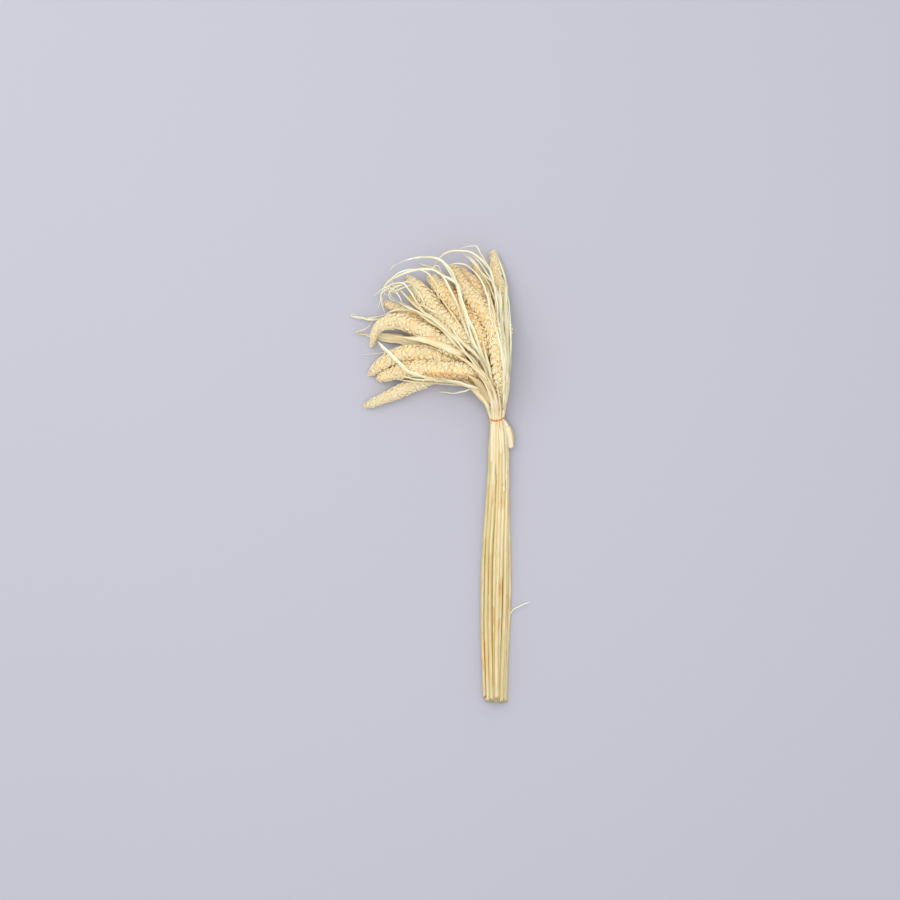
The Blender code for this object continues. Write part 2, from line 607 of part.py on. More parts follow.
def main():
    for obj in list(bpy.data.objects):
        bpy.data.objects.remove(obj)
    collection = bpy.data.collections.new("foxtail_millet_bundle")
    bpy.context.scene.collection.children.link(collection)
    stem_straw = straw_material("stem_straw", STRAW, 0.6)
    blade_straw = straw_material("blade_straw", BLADE_STRAW, 0.65)
    grain = straw_material("grain", GRAIN, 0.8)
    cord = straw_material("tie_cord", CORD_ORANGE, 0.5)

    rng = np.random.default_rng(11)
    slots = slots_for(HEADS)
    cuts = rng.uniform(-1, 1, len(HEADS)) * STEM_CUT_SPREAD
    strands = [draw_stalk(name, widest, path, slots[name], cut)
               for (name, (widest, path)), cut in zip(HEADS.items(), cuts)]
    strands += [draw_blade(name, *shape, rng) for name, shape in BLADES.items()]
    bundle = Bundle(strands)
    bundle.seat_blades()
    bundle.settle()
    bundle.settled()

    number = 0
    for strand in strands:
        if strand.foot_at:
            number += 1
            foot = strand.foot_at
            ahead, side, up = frames_along(strand.points)
            joint = strand.points[foot]
            reach = [joint - ahead[foot] * length for length in (JOINT_REACH, JOINT_GAP / 2)]
            stem = np.vstack([strand.points[:foot], reach])
            radii = np.append(strand.across[:foot], [STEM_RADIUS_NECK] * 2)
            stem_curve = tube_curve(f"stem_{number:02d}", stem, radii)
            add_object(f"stem_{number:02d}", stem_curve, stem_straw, collection)
            head = slice(foot, None)
            mesh = head_mesh(f"head_{number:02d}", strand.points[head], strand.across[head],
                             ahead[head], side[head], up[head], rng)
            add_object(f"head_{number:02d}", mesh, grain, collection)
        else:
            mesh = blade_mesh(strand.name, strand.points, strand.across, strand.roll)
            add_object(strand.name, mesh, blade_straw, collection)
    tie = tube_curve("tie", tie_points(), np.full(TIE_SEGMENTS, TIE_CORD_RADIUS), closed=True)
    add_object("tie", tie, cord, collection)
    centre_on_floor(collection)


main()
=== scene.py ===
# %% [markdown]
# This is the look of a dried bunch of foxtail millet. The part's own solids are the frame: every stem, seed
# head, leaf blade and the tie already lie where they belong. Each of them is replaced here by a finer piece
# that follows its line.

import bmesh
import bpy
import numpy as np
from mathutils import Matrix, Vector
from mathutils.bvhtree import BVHTree


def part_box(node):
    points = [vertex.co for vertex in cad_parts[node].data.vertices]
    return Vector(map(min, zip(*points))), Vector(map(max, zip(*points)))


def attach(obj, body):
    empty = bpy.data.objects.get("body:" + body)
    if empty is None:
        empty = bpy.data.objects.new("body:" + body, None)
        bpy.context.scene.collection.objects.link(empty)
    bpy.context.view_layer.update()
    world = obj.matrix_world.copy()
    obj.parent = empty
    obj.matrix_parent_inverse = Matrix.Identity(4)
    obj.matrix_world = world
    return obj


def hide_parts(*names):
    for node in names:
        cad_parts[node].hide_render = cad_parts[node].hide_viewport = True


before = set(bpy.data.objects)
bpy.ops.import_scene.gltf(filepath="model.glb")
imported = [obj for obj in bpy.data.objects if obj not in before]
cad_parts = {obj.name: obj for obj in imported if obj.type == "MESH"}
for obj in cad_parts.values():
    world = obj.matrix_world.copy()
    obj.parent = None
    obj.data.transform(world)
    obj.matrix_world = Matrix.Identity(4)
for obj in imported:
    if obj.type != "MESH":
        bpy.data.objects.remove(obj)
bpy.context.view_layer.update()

MM = 0.001
BODY = "root"
print("solids in the frame:", len(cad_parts))

# %% [markdown]
# The camera comes first, because the photograph fixes it. It looks straight down on the bunch from far away,
# so a tall head leans outwards very little. The tie is the landmark: its place in the picture and the real
# size of one pixel say where the middle of the picture lies.

# %% Camera
PICTURE_PIXELS = 900
TIE_PIXEL = (497.3, 418.5)
PIXEL_SIZE = 1.42 * MM
CAMERA_HEIGHT = 3.2
HEADS_HEIGHT = 0.03

tie_low, tie_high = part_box("tie")
tie_centre = (tie_low + tie_high) / 2
middle = PICTURE_PIXELS / 2
camera_data = bpy.data.cameras.new("camera")
camera_data.sensor_fit = "HORIZONTAL"
camera_data.lens = camera_data.sensor_width * (CAMERA_HEIGHT - HEADS_HEIGHT) / (PICTURE_PIXELS * PIXEL_SIZE)
camera = bpy.data.objects.new("camera", camera_data)
camera.location = (
    tie_centre.x + (middle - TIE_PIXEL[0]) * PIXEL_SIZE,
    tie_centre.y + (TIE_PIXEL[1] - middle) * PIXEL_SIZE,
    CAMERA_HEIGHT,
)
bpy.context.scene.collection.objects.link(camera)
bpy.context.scene.camera = camera
print(f"lens {camera_data.lens:.1f} mm over ({camera.location.x:.3f}, {camera.location.y:.3f})")

# %% [markdown]
# A pale floor and wide soft lamps make a plain studio. The largest lamp hangs beside the camera, so that
# it lights the gaps that the camera sees, and a smaller one at the upper left gives each stem and each
# head a brighter side. A bright world fills the shadows. The Standard view keeps pale straw pale, where
# the default view would grey it. Colours are written as a screen shows them, because that is how a
# photograph is read, and a short function turns them into the linear values that Blender's sockets take.

# %% Floor and light
FLOOR_SIZE = 8.0
LAMP_AIM = Vector((0, 0.1, 0))


def screen_colour(red, green, blue):
    """A colour given as a screen shows it, from 0 to 255, as linear values with full alpha."""
    linear = []
    for value in (red, green, blue):
        share = value / 255
        linear.append(share / 12.92 if share < 0.04045 else ((share + 0.055) / 1.055) ** 2.4)
    return (*linear, 1.0)


def start_material(name, roughness):
    material = bpy.data.materials.new(name)
    material.use_nodes = True
    tree = material.node_tree
    shader = tree.nodes["Principled BSDF"]
    shader.inputs["Roughness"].default_value = roughness
    return material, tree, shader


def add_object(name, data):
    added = bpy.data.objects.new(name, data)
    bpy.context.scene.collection.objects.link(added)
    return added


def piece_from_bmesh(bm, name):
    mesh = bpy.data.meshes.new(name)
    bm.to_mesh(mesh)
    bm.free()
    return add_object(name, mesh)


bm = bmesh.new()
bmesh.ops.create_grid(bm, x_segments=1, y_segments=1, size=FLOOR_SIZE / 2)
floor = piece_from_bmesh(bm, "floor")
floor_material, _, shader = start_material("floor_paint", 0.85)
shader.inputs["Base Color"].default_value = screen_colour(179, 179, 190)
floor.data.materials.append(floor_material)


def soft_lamp(name, place, size, watts, colour=(1, 1, 1)):
    data = bpy.data.lights.new(name, "AREA")
    data.size = size
    data.energy = watts
    data.color = colour
    lamp = add_object(name, data)
    lamp.location = place
    lamp.rotation_euler = (LAMP_AIM - Vector(place)).to_track_quat("-Z", "Y").to_euler()


soft_lamp("top_lamp", (-0.2, 0.3, 2.6), 2.4, 27, (1.0, 0.985, 0.96))
soft_lamp("key_lamp", (-1.5, 1.3, 1.9), 1.4, 12, (1.0, 0.98, 0.94))

world = bpy.data.worlds.new("studio_air")
world.use_nodes = True
world.node_tree.nodes["Background"].inputs["Color"].default_value = (0.97, 0.97, 1.0, 1)
world.node_tree.nodes["Background"].inputs["Strength"].default_value = 0.9
bpy.context.scene.world = world
bpy.context.scene.view_settings.view_transform = "Standard"
print("floor and two lamps")

# %% [markdown]
# Every strand of the frame is a chain of rings, from its foot to its tip. A walk over the edges finds them
# again: it starts with the ring at the foot, and each step takes the vertices one edge further on. The
# middle of a ring is a point of the strand's line. Its widest reach is the strand's half width there, and
# on a blade the direction of that reach says how the blade is turned.

# %% Read the strands
FOOT_REACH = {"stem": 7 * MM, "head": 6 * MM, "leaf": 4 * MM}
SAME_PLACE = 0.01 * MM


def rings_of(node, foot, reach):
    """The rings of a CAD strand, foot first, each as an array of places."""
    bm = bmesh.new()
    bm.from_mesh(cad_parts[node].data)
    bmesh.ops.remove_doubles(bm, verts=bm.verts, dist=SAME_PLACE)
    start = min(bm.verts, key=lambda v: (v.co - foot).length)
    ring = [v for v in bm.verts if (v.co - start.co).length < reach]
    seen = set(ring)
    rings = []
    while ring:
        rings.append(np.array([v.co[:] for v in sorted(ring, key=lambda v: v.index)]))
        beyond = {edge.other_vert(v) for v in ring for edge in v.link_edges} - seen
        seen |= beyond
        ring = list(beyond)
    bm.free()
    return rings


def read_strand(node):
    """A strand's middle line, its half width at each point, and the direction across it."""
    kind = node.split("_")[0]
    low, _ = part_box(node)
    foot = Vector((tie_centre.x, low.y, 0)) if kind == "stem" else tie_centre
    rings = rings_of(node, foot, FOOT_REACH[kind])
    points = np.array([ring.mean(axis=0) for ring in rings])
    sizes, across = [], []
    for ring, point in zip(rings, points):
        out = ring - point
        reach = np.linalg.norm(out, axis=1)
        sizes.append(reach.max())
        widest = out[reach.argmax()] / max(reach.max(), SAME_PLACE)
        if across and widest @ across[-1] < 0:
            widest = -widest
        across.append(widest)
    across[-1] = across[-2]
    return points, np.array(sizes), np.array(across)


strands = {node: read_strand(node) for node in sorted(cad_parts) if node != "tie"}
for kind in FOOT_REACH:
    middle_lines = [points for node, (points, _, _) in strands.items() if kind in node]
    lengths = [np.linalg.norm(np.diff(points, axis=0), axis=1).sum() for points in middle_lines]
    print(f"{kind}: {len(lengths)} strands, {min(lengths) / MM:.0f} to {max(lengths) / MM:.0f} mm long")

# %% [markdown]
# The frame's lines are coarse, so each one is drawn again as a smooth curve through the same points. A
# piece is then made straight, as a rod or a strip along Z with a height of one, and laid along its line:
# the height of a vertex becomes the share of the way, and its X and Y become steps across and up.

# %% Smooth lines
LINE_STEP = 1.5 * MM


def unit(vectors):
    return vectors / np.maximum(np.linalg.norm(vectors, axis=-1, keepdims=True), 1e-12)


class Line:
    """A smooth line through points, with a half width and a direction across at each place."""

    def __init__(self, points, sizes, across=None):
        points = np.asarray(points, float)
        knots = np.concatenate([[0], np.cumsum(np.linalg.norm(np.diff(points, axis=0), axis=1))])
        self.length = knots[-1]
        slopes = np.gradient(points, knots, axis=0)
        at = np.linspace(0, self.length, max(8, round(self.length / LINE_STEP)))
        k = np.clip(np.searchsorted(knots, at, side="right") - 1, 0, len(knots) - 2)
        gap = (knots[k + 1] - knots[k])[:, None]
        t = (at[:, None] - knots[k][:, None]) / gap
        self.points = ((2 * t**3 - 3 * t**2 + 1) * points[k] + (t**3 - 2 * t**2 + t) * gap * slopes[k]
                       + (3 * t**2 - 2 * t**3) * points[k + 1] + (t**3 - t**2) * gap * slopes[k + 1])
        self.share = at / self.length
        self.sizes = np.interp(at, knots, sizes)
        ahead = unit(np.gradient(self.points, axis=0))
        if across is None:
            side = np.cross(ahead, (0, 0, 1.0))
        else:
            side = np.column_stack([np.interp(at, knots, across[:, axis]) for axis in range(3)])
            side -= ahead * (side * ahead).sum(axis=1)[:, None]
        self.ahead = ahead
        self.side = unit(side)
        self.up = np.cross(self.side, ahead)
        if self.up[:, 2].mean() < 0:
            self.side, self.up = -self.side, -self.up

    def at(self, share):
        """Place, direction ahead, side, up and half width at each share of the way."""
        share = np.clip(share, 0, 1)
        found = []
        for values in (self.points, self.ahead, self.side, self.up):
            columns = [np.interp(share, self.share, values[:, axis]) for axis in range(3)]
            found.append(np.column_stack(columns))
        place, ahead, side, up = found
        return place, unit(ahead), unit(side), unit(up), np.interp(share, self.share, self.sizes)


def toward(first, second, angle):
    """The direction that lies an angle away from the first one, on the way to the second."""
    return first * np.cos(angle) + second * np.sin(angle)


def ease(x):
    """0 below 0, 1 above 1, and a smooth rise between them."""
    x = np.clip(x, 0, 1)
    return x * x * (3 - 2 * x)


def waves(x, rng, count=4, finest=3.0):
    """A smooth random curve of x, from about -1 to 1, with up to `finest` waves for each step of x."""
    total = np.zeros_like(x)
    for k in range(count):
        total += np.sin(2 * np.pi * (x * rng.uniform(0.4, finest) + rng.uniform())) / (k + 1)
    return total / 1.6


lines = {node: Line(*strand[:2]) for node, strand in strands.items() if "leaf" not in node}
lines.update({node: Line(*strand) for node, strand in strands.items() if "leaf" in node})
print("smooth lines:", len(lines))

# %% [markdown]
# Straw and dry leaf both show fibres that run along the piece, and one node group makes them for the two
# materials. It reads the place that a vertex had before its piece was bent, kept in the attribute "straight",
# so the fibres follow each curve. It stretches a noise a long way along the piece, and puts out a mask of
# streaks, a slower mask of patches, and a height for the bump.

# %% Fibre node group
def node_in(tree, kind, settings=None, **inputs):
    """Adds a node, sets its own settings, and sets or links its inputs by their names."""
    node = tree.nodes.new(kind)
    for key, value in (settings or {}).items():
        setattr(node, key, value)
    for key, value in inputs.items():
        socket = node.inputs[int(key[1:])] if key[0] == "n" and key[1:].isdigit() else node.inputs[key]
        if isinstance(value, bpy.types.NodeSocket):
            tree.links.new(value, socket)
        else:
            socket.default_value = value
    return node


def times(tree, value, factor):
    return node_in(tree, "ShaderNodeMath", {"operation": "MULTIPLY"}, n0=value, n1=factor).outputs[0]


def stretch(tree, value, low, high):
    """Stretches the range low to high of a value to 0 to 1, and keeps it there."""
    node = node_in(tree, "ShaderNodeMapRange", Value=value)
    node.inputs["From Min"].default_value = low
    node.inputs["From Max"].default_value = high
    return node.outputs["Result"]


def new_group(name, inputs, outputs):
    group = bpy.data.node_groups.new(name, "ShaderNodeTree")
    for label, kind, value in inputs:
        socket = group.interface.new_socket(label, in_out="INPUT", socket_type=kind)
        if value is not None:
            socket.default_value = value
    for label in outputs:
        group.interface.new_socket(label, in_out="OUTPUT", socket_type="NodeSocketFloat")
    return group, group.nodes.new("NodeGroupInput").outputs, group.nodes.new("NodeGroupOutput").inputs


fibre_group, given, out = new_group(
    "Lengthwise fibres",
    [("Straight", "NodeSocketVector", None), ("Fineness", "NodeSocketFloat", 900.0),
     ("Stretch", "NodeSocketFloat", 0.02), ("Shift", "NodeSocketFloat", 0.0)],
    ["Streaks", "Patches", "Height"],
)


def vector_maths(operation, first, second):
    settings = {"operation": operation}
    return node_in(fibre_group, "ShaderNodeVectorMath", settings, n0=first, n1=second).outputs[0]


stretched = node_in(fibre_group, "ShaderNodeCombineXYZ", X=1.0, Y=1.0, Z=given["Stretch"]).outputs[0]
moved = vector_maths("ADD", vector_maths("MULTIPLY", given["Straight"], stretched), given["Shift"])
coarse = times(fibre_group, given["Fineness"], 0.28)
finer = times(fibre_group, given["Fineness"], 2.2)
for label, scale, detail, roughness in (
    ("Streaks", given["Fineness"], 2.0, 0.6), ("Patches", coarse, 2.0, 0.5), ("Height", finer, 1.0, 0.5),
):
    noise = node_in(
        fibre_group, "ShaderNodeTexNoise", Vector=moved, Scale=scale, Detail=detail, Roughness=roughness
    )
    fibre_group.links.new(stretch(fibre_group, noise.outputs["Fac"], 0.3, 0.7), out[label])
print("group:", fibre_group.name)

# %% [markdown]
# A strip and a rod are the two blanks. The rod is a cone of equal radii cut into rings, and the strip is a
# grid. Both stand along Z from 0 to 1. When one is bent, its straight place in metres is kept as the
# attribute that the fibres read, and single values such as a tint can be kept beside it.

# %% Blanks and how they are bent
def straight_rod(sides, rings):
    bm = bmesh.new()
    bmesh.ops.create_cone(bm, cap_ends=True, segments=sides, radius1=1, radius2=1, depth=1,
                          matrix=Matrix.Translation((0, 0, 0.5)))
    long_edges = [edge for edge in bm.edges if abs(edge.verts[0].co.z - edge.verts[1].co.z) > 0.5]
    bmesh.ops.subdivide_edges(bm, edges=long_edges, cuts=rings - 1)
    return bm


def vertex_places(mesh):
    places = np.empty(len(mesh.vertices) * 3, np.float32)
    mesh.vertices.foreach_get("co", places)
    return places.reshape(-1, 3).astype(float)


def keep_values(mesh, **named):
    """Keeps a number or a vector for each vertex under each name. A lone number is kept for all of them."""
    for name, values in named.items():
        kind, field = ("FLOAT_VECTOR", "vector") if np.ndim(values) == 2 else ("FLOAT", "value")
        if np.ndim(values) == 0:
            values = np.full(len(mesh.vertices), values)
        kept = mesh.attributes.new(name, kind, "POINT")
        kept.data.foreach_set(field, np.asarray(values, np.float32).ravel())


def set_places(mesh, places):
    mesh.vertices.foreach_set("co", np.asarray(places, np.float32).ravel())
    mesh.update()


def dress(piece, node, material):
    """Gives a finished piece its material, hangs it on the body, and hides the solid that it stands for."""
    piece.data.materials.append(material)
    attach(piece, BODY)
    if node:
        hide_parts(node)


bm = straight_rod(8, 3)
print("a small rod has", len(bm.verts), "vertices and", len(bm.faces), "faces")
bm.free()

# %% [markdown]
# A seed head is a crowd of husked grains. The grains sit in round clusters, the clusters stand on a spiral
# round a stalk, and every cluster leans towards the tip. The smallest piece is one grain: a coarse sphere,
# a little longer than it is wide. A cluster is one grain on top and a ring of grains below it, on a dome,
# with two short bristles. A handful of clusters with different draws is enough, because each copy is turned
# and sized by chance.

# %% One cluster of grains
GRAIN_RADIUS = 1.3 * MM
GRAIN_LENGTH = 1.55 * MM
DOME_RADIUS = 2.35 * MM
CLUSTER_RINGS = ((1, 0), (6, 50))
CLUSTER_KINDS = 6
BRISTLES = 2
BRISTLE_LENGTH = 3.0 * MM
BRISTLE_RADIUS = 0.11 * MM
BRISTLE_TINT = 2.0


def mesh_arrays(bm):
    """The vertices and triangles of a bmesh, as arrays."""
    bmesh.ops.triangulate(bm, faces=bm.faces)
    bm.verts.index_update()
    places = np.array([v.co[:] for v in bm.verts])
    triangles = np.array([[v.index for v in face.verts] for face in bm.faces])
    bm.free()
    return places, triangles


def cluster_shape(rng):
    """One cluster, standing along +Z with its dome's middle at the origin, and a tint for each grain."""
    bm = bmesh.new()
    tints = []
    for count, tilt in CLUSTER_RINGS:
        start = rng.uniform(0, 360)
        for k in range(count):
            turn = Matrix.Rotation(np.radians(start + k * 360 / count + rng.uniform(-9, 9)), 4, "Z")
            lean = Matrix.Rotation(np.radians(tilt + rng.uniform(-8, 8)), 4, "X")
            lift = Matrix.Translation((0, 0, DOME_RADIUS * rng.uniform(0.9, 1.08)))
            wide = GRAIN_RADIUS * rng.uniform(0.9, 1.12)
            size = Matrix.Diagonal((wide, wide, GRAIN_LENGTH * rng.uniform(0.9, 1.15), 1))
            made = bmesh.ops.create_icosphere(bm, subdivisions=1, radius=1, matrix=turn @ lean @ lift @ size)
            tints += [rng.uniform()] * len(made["verts"])
    for _ in range(BRISTLES):
        turn = Matrix.Rotation(rng.uniform(0, 2 * np.pi), 4, "Z")
        lean = Matrix.Rotation(np.radians(rng.uniform(10, 65)), 4, "X")
        lift = Matrix.Translation((0, 0, DOME_RADIUS + BRISTLE_LENGTH / 2))
        made = bmesh.ops.create_cone(bm, cap_ends=True, segments=3, radius1=BRISTLE_RADIUS, radius2=0,
                                     depth=BRISTLE_LENGTH, matrix=turn @ lean @ lift)
        tints += [BRISTLE_TINT] * len(made["verts"])
    places, triangles = mesh_arrays(bm)
    return places, triangles, np.array(tints)


cluster_rng = np.random.default_rng(3)
clusters = [cluster_shape(cluster_rng) for _ in range(CLUSTER_KINDS)]
print("a cluster has", len(clusters[0][1]), "triangles")

# %% [markdown]
# The husks are cream on their crowns. The gaps between clusters, down to the stalk, are painted tan as
# painted shade, the darker the deeper a place lies. Three values are kept on every vertex for that: how far
# out it lies, a tint for each grain, and a tone for the whole head. Four heads are greenish by their own
# colour, and the heads underneath are made more orange, in part their own colour and in part painted shade.
# Light soaks a little way into a husk, which subsurface scattering gives, so the gaps between grains stay
# warm instead of black.

# %% Grain material
# Painted shade: the gap colour and the shade colour darken the husks the deeper they lie between clusters.
# The crown colour is the husks' own.
HUSK_GAP_SHADE = screen_colour(248, 216, 158)
HUSK_SHADE = screen_colour(249, 224, 170)
HUSK_CROWN = screen_colour(252, 234, 186)
# This orange is the husks' own colour where the noise puts it, and in part painted shade where a head's tone
# raises it on the heads that lie underneath.
HUSK_ORANGE = screen_colour(240, 192, 128)
HUSK_GREEN = screen_colour(246, 235, 198)
HUSK_SPOT = screen_colour(204, 152, 88)
# Painted shadow: this brown colours the husks in the strips of painted shadow.
HUSK_SHADOW_BROWN = screen_colour(214, 170, 116)
HUSK_BLEACHED = screen_colour(252, 242, 206)


def ramp(tree, value, stops):
    node = node_in(tree, "ShaderNodeValToRGB", Fac=value)
    elements = node.color_ramp.elements
    while len(elements) < len(stops):
        elements.new(0.5)
    for element, (place, colour) in zip(elements, stops):
        element.position = place
        element.color = colour
    return node.outputs["Color"]


def mix(tree, share, first, second):
    node = node_in(tree, "ShaderNodeMix", {"data_type": "RGBA"}, n0=share)
    for index, value in ((6, first), (7, second)):
        if isinstance(value, bpy.types.NodeSocket):
            tree.links.new(value, node.inputs[index])
        else:
            node.inputs[index].default_value = value
    return node.outputs[2]


def attribute(tree, name, output="Fac"):
    return node_in(tree, "ShaderNodeAttribute", {"attribute_name": name}).outputs[output]


def laid_over(tree, colour, layers):
    """A colour with others laid over it, each where a value runs from low to high, at its own strength."""
    for value, low, high, strength, layer in layers:
        colour = mix(tree, times(tree, stretch(tree, value, low, high), strength), colour, layer)
    return colour


def object_noise(tree, scale, detail):
    place = node_in(tree, "ShaderNodeTexCoord").outputs["Object"]
    return node_in(tree, "ShaderNodeTexNoise", Vector=place, Scale=scale, Detail=detail).outputs["Fac"]


def bump(tree, shader, height, strength, distance):
    node = node_in(tree, "ShaderNodeBump", Height=height, Strength=strength, Distance=distance)
    tree.links.new(node.outputs["Normal"], shader.inputs["Normal"])


grain_material, tree, shader = start_material("millet_husk", 0.68)
# Painted shade: the ramp darkens each place by how far in it lies, from the crowns down into the gaps.
out_share = stretch(tree, attribute(tree, "reach"), 0.76, 1.0)
colour = ramp(tree, out_share, ((0.0, HUSK_GAP_SHADE), (0.35, HUSK_SHADE), (0.75, HUSK_CROWN)))
tone, tint = attribute(tree, "tone"), attribute(tree, "tint")
blotch, grit = object_noise(tree, 38.0, 3.0), object_noise(tree, 1600.0, 2.0)
# The tone layers: below zero the greenish own colour, above zero orange, in part painted shade on the heads
# underneath, and brown as painted shadow in the strips. Tint and blotch are the husks' own colour.
colour = laid_over(tree, colour, (
    (tone, 0.0, 1.0, 0.6, HUSK_ORANGE), (tone, 1.0, 2.0, 0.85, HUSK_SHADOW_BROWN),
    (tone, 0.0, -1.0, 0.6, HUSK_GREEN),
    (tint, 0.86, 1.0, 0.35, HUSK_SPOT), (tint, 0.35, 0.0, 0.4, HUSK_BLEACHED),
    (blotch, 0.5, 0.75, 0.4, HUSK_ORANGE),
))
tree.links.new(colour, shader.inputs["Base Color"])
bump(tree, shader, grit, 0.35, 0.3 * MM)
shader.inputs["Subsurface Weight"].default_value = 0.5
shader.inputs["Subsurface Radius"].default_value = (1.0, 0.88, 0.7)
shader.inputs["Subsurface Scale"].default_value = 3.5 * MM
print("material:", grain_material.name)

# %% [markdown]
# A head narrows evenly to a round tip. Its hidden middle is a rod at part of its girth, so that no gap
# between clusters looks through. The numbers below say how some heads differ: a more or less pointed end,
# and a girth that is fuller than the solid's. What would reach below the floor is pressed flat, as in a
# head that has lain there.

# %% The body of a head
CORE_SHARE = 0.81
CORE_SIDES = 12
CORE_RING_STEP = 6 * MM
POINT_SIZE = 2.3 * MM
POINT_SLOPE = 0.6
TIP_REACH = 7 * MM
TIP_NEAR = 0.93  # where along a head its tip begins to change it
CORE_TIP_LOSS = 0.5
FLOOR_GAP = 0.06 * MM
POINT_SLOPES = {"01": 0.9, "06": 0.5, "07": 0.4, "09": 0.4, "10": 0.17, "11": 0.38, "13": 0.32}
FULLER = {"02": 1.04, "03": 1.05, "05": 1.1, "06": 1.1, "07": 1.12, "11": 1.07, "12": 1.06}


def mesh_from_arrays(name, places, triangles):
    mesh = bpy.data.meshes.new(name)
    mesh.vertices.add(len(places))
    mesh.vertices.foreach_set("co", places.astype(np.float32).ravel())
    mesh.loops.add(triangles.size)
    mesh.loops.foreach_set("vertex_index", triangles.astype(np.int32).ravel())
    mesh.polygons.add(len(triangles))
    mesh.polygons.foreach_set("loop_start", np.arange(0, triangles.size, 3, dtype=np.int32))
    mesh.update(calc_edges=True)
    mesh.shade_smooth()
    return mesh


def above_floor(places):
    places[:, 2] = np.maximum(places[:, 2], FLOOR_GAP)
    return places


def head_size(line, share):
    """A head's half width. It narrows evenly towards the tip, and the tip itself is round."""
    last = 1 - TIP_REACH / line.length
    to_tip = (1 - share) * line.length
    size = np.maximum(line.at(np.minimum(share, last))[4] * line.fuller, POINT_SIZE)
    size = np.minimum(size, POINT_SIZE + line.point_slope * to_tip)
    past = np.clip((share - last) / (1 - last), 0, 1)
    return size * np.sqrt(1 - 0.7 * past**2)


def near_tip(share):
    return ease((share - TIP_NEAR) / (1 - TIP_NEAR))


def head_core(line):
    """The stalk and the hidden middle of a head: a rod that follows it at part of its girth."""
    straight, triangles = mesh_arrays(straight_rod(CORE_SIDES, max(6, round(line.length / CORE_RING_STEP))))
    share = straight[:, 2]
    place, _, side, up, _ = line.at(share)
    size = CORE_SHARE * head_size(line, share) * (1 - CORE_TIP_LOSS * near_tip(share))
    offset = side * (straight[:, 0] * size)[:, None] + up * (straight[:, 1] * size)[:, None]
    return place + offset, triangles


for node, line in lines.items():
    line.point_slope = POINT_SLOPES.get(node.split("_")[1], POINT_SLOPE)
    line.fuller = FULLER.get(node.split("_")[1], 1.0)
half_way = head_size(lines["head_01"], np.array([0.5]))[0]
print(f"the first head is {2 * half_way / MM:.1f} mm thick half way")

# %% [markdown]
# The clusters stand on a spiral that turns by the golden angle from one to the next, as the parts of many
# plants do, so no row lines up with its neighbour. The step along the line follows from the girth. A
# cluster's dome is sunk so far that its top grain just reaches the head's surface, and its neighbours
# overlap its edge. Each is moved, turned and sized a little by chance, and two slow waves make low lumps
# along the head.

# %% Where the clusters stand
ROW_PITCH = 5.3 * MM
CLUSTER_PITCH = 6.3 * MM
GOLDEN_TURN = np.pi * (3 - 5**0.5)
FULL_RADIUS = 10.5 * MM
TIP_FILL = 3.2 * MM
TIP_SCALE = 0.72
TIP_RINGS = ((8, 1), (52, 5))
CLUSTER_LEAN = 24
TIP_LEAN = 42
FIRST_CLUSTER = 0.8 * MM
SIZE_FROM_GIRTH = (0.55, 0.45)
SIZE_FROM_SHARE = (1.2, 0.42)
LUMP_HEIGHT = 0.03
LUMPS = ((17 * MM, 2), (11 * MM, -3))  # length along the head, and turns round it
CLUSTER_SPREAD = 1.14
CLUSTER_HEIGHT = 0.82


def standing_axes(standing, ahead, spread, height, rng):
    """The axes of a cluster that stands along a direction, turned about it by chance."""
    across = unit(np.cross(standing, ahead))
    third = np.cross(standing, across)
    spin = rng.uniform(0, 2 * np.pi)
    first = toward(across, third, spin)
    return np.column_stack([first * spread, np.cross(standing, first) * spread, standing * height])


def tip_clusters(line, rng):
    """A few clusters that close the round end of a head."""
    share = 1 - TIP_FILL / line.length
    middle, ahead, side, up, _ = (values[0] for values in line.at(np.array([share])))
    size = head_size(line, np.array([share]))[0]
    found = []
    for tilt, count in TIP_RINGS:
        for k in range(count):
            angle = 2 * np.pi * (k + rng.uniform(-0.1, 0.1)) / count
            outward = toward(side, up, angle)
            standing = toward(ahead, outward, np.radians(tilt))
            axes = standing_axes(standing, ahead + outward, TIP_SCALE, TIP_SCALE * CLUSTER_HEIGHT, rng)
            sunk = size * 0.35 * np.sin(np.radians(tilt)) - 0.5 * MM
            found.append((axes, middle + outward * sunk, middle - ahead * size, 0.9 * size))
    return found


def cluster_places(line, rng):
    """Where each cluster of a head stands: its axes, a place, and the head's middle and half width."""
    found = tip_clusters(line, rng)
    along, turned_by = FIRST_CLUSTER, rng.uniform(0, 2 * np.pi)
    lump_starts = rng.uniform(0, 2 * np.pi, len(LUMPS))
    while along < line.length - TIP_FILL / 2:
        share = along / line.length
        size = head_size(line, share)
        scale = SIZE_FROM_GIRTH[0] + SIZE_FROM_GIRTH[1] * size / FULL_RADIUS
        scale *= SIZE_FROM_SHARE[0] - SIZE_FROM_SHARE[1] * share
        crowd = max(3.0, 2 * np.pi * size * 0.84 / (CLUSTER_PITCH * scale))
        shifted = share + rng.uniform(-1.3, 1.3) * MM / line.length
        middle, ahead, side, up, _ = (values[0] for values in line.at(np.array([shifted])))
        angle = turned_by + rng.uniform(-0.2, 0.2)
        outward = toward(side, up, angle)
        lean = np.radians(CLUSTER_LEAN + rng.uniform(-9, 9) + TIP_LEAN * near_tip(share))
        standing = toward(outward, ahead, lean)
        own = scale * rng.uniform(0.88, 1.16)
        lump = sum(np.sin(2 * np.pi * along / length + turns * angle + start)
                   for (length, turns), start in zip(LUMPS, lump_starts))
        depth = size * (rng.uniform(1.0, 1.06) + LUMP_HEIGHT * lump)
        depth -= (DOME_RADIUS + GRAIN_LENGTH) * CLUSTER_HEIGHT * own * np.cos(lean)
        axes = standing_axes(standing, ahead, own * CLUSTER_SPREAD, own * CLUSTER_HEIGHT, rng)
        found.append((axes, middle + outward * max(depth, 0), middle, size))
        along += ROW_PITCH * scale / crowd
        turned_by += GOLDEN_TURN
    return found


print("golden turn:", round(float(np.degrees(GOLDEN_TURN)), 2), "degrees")
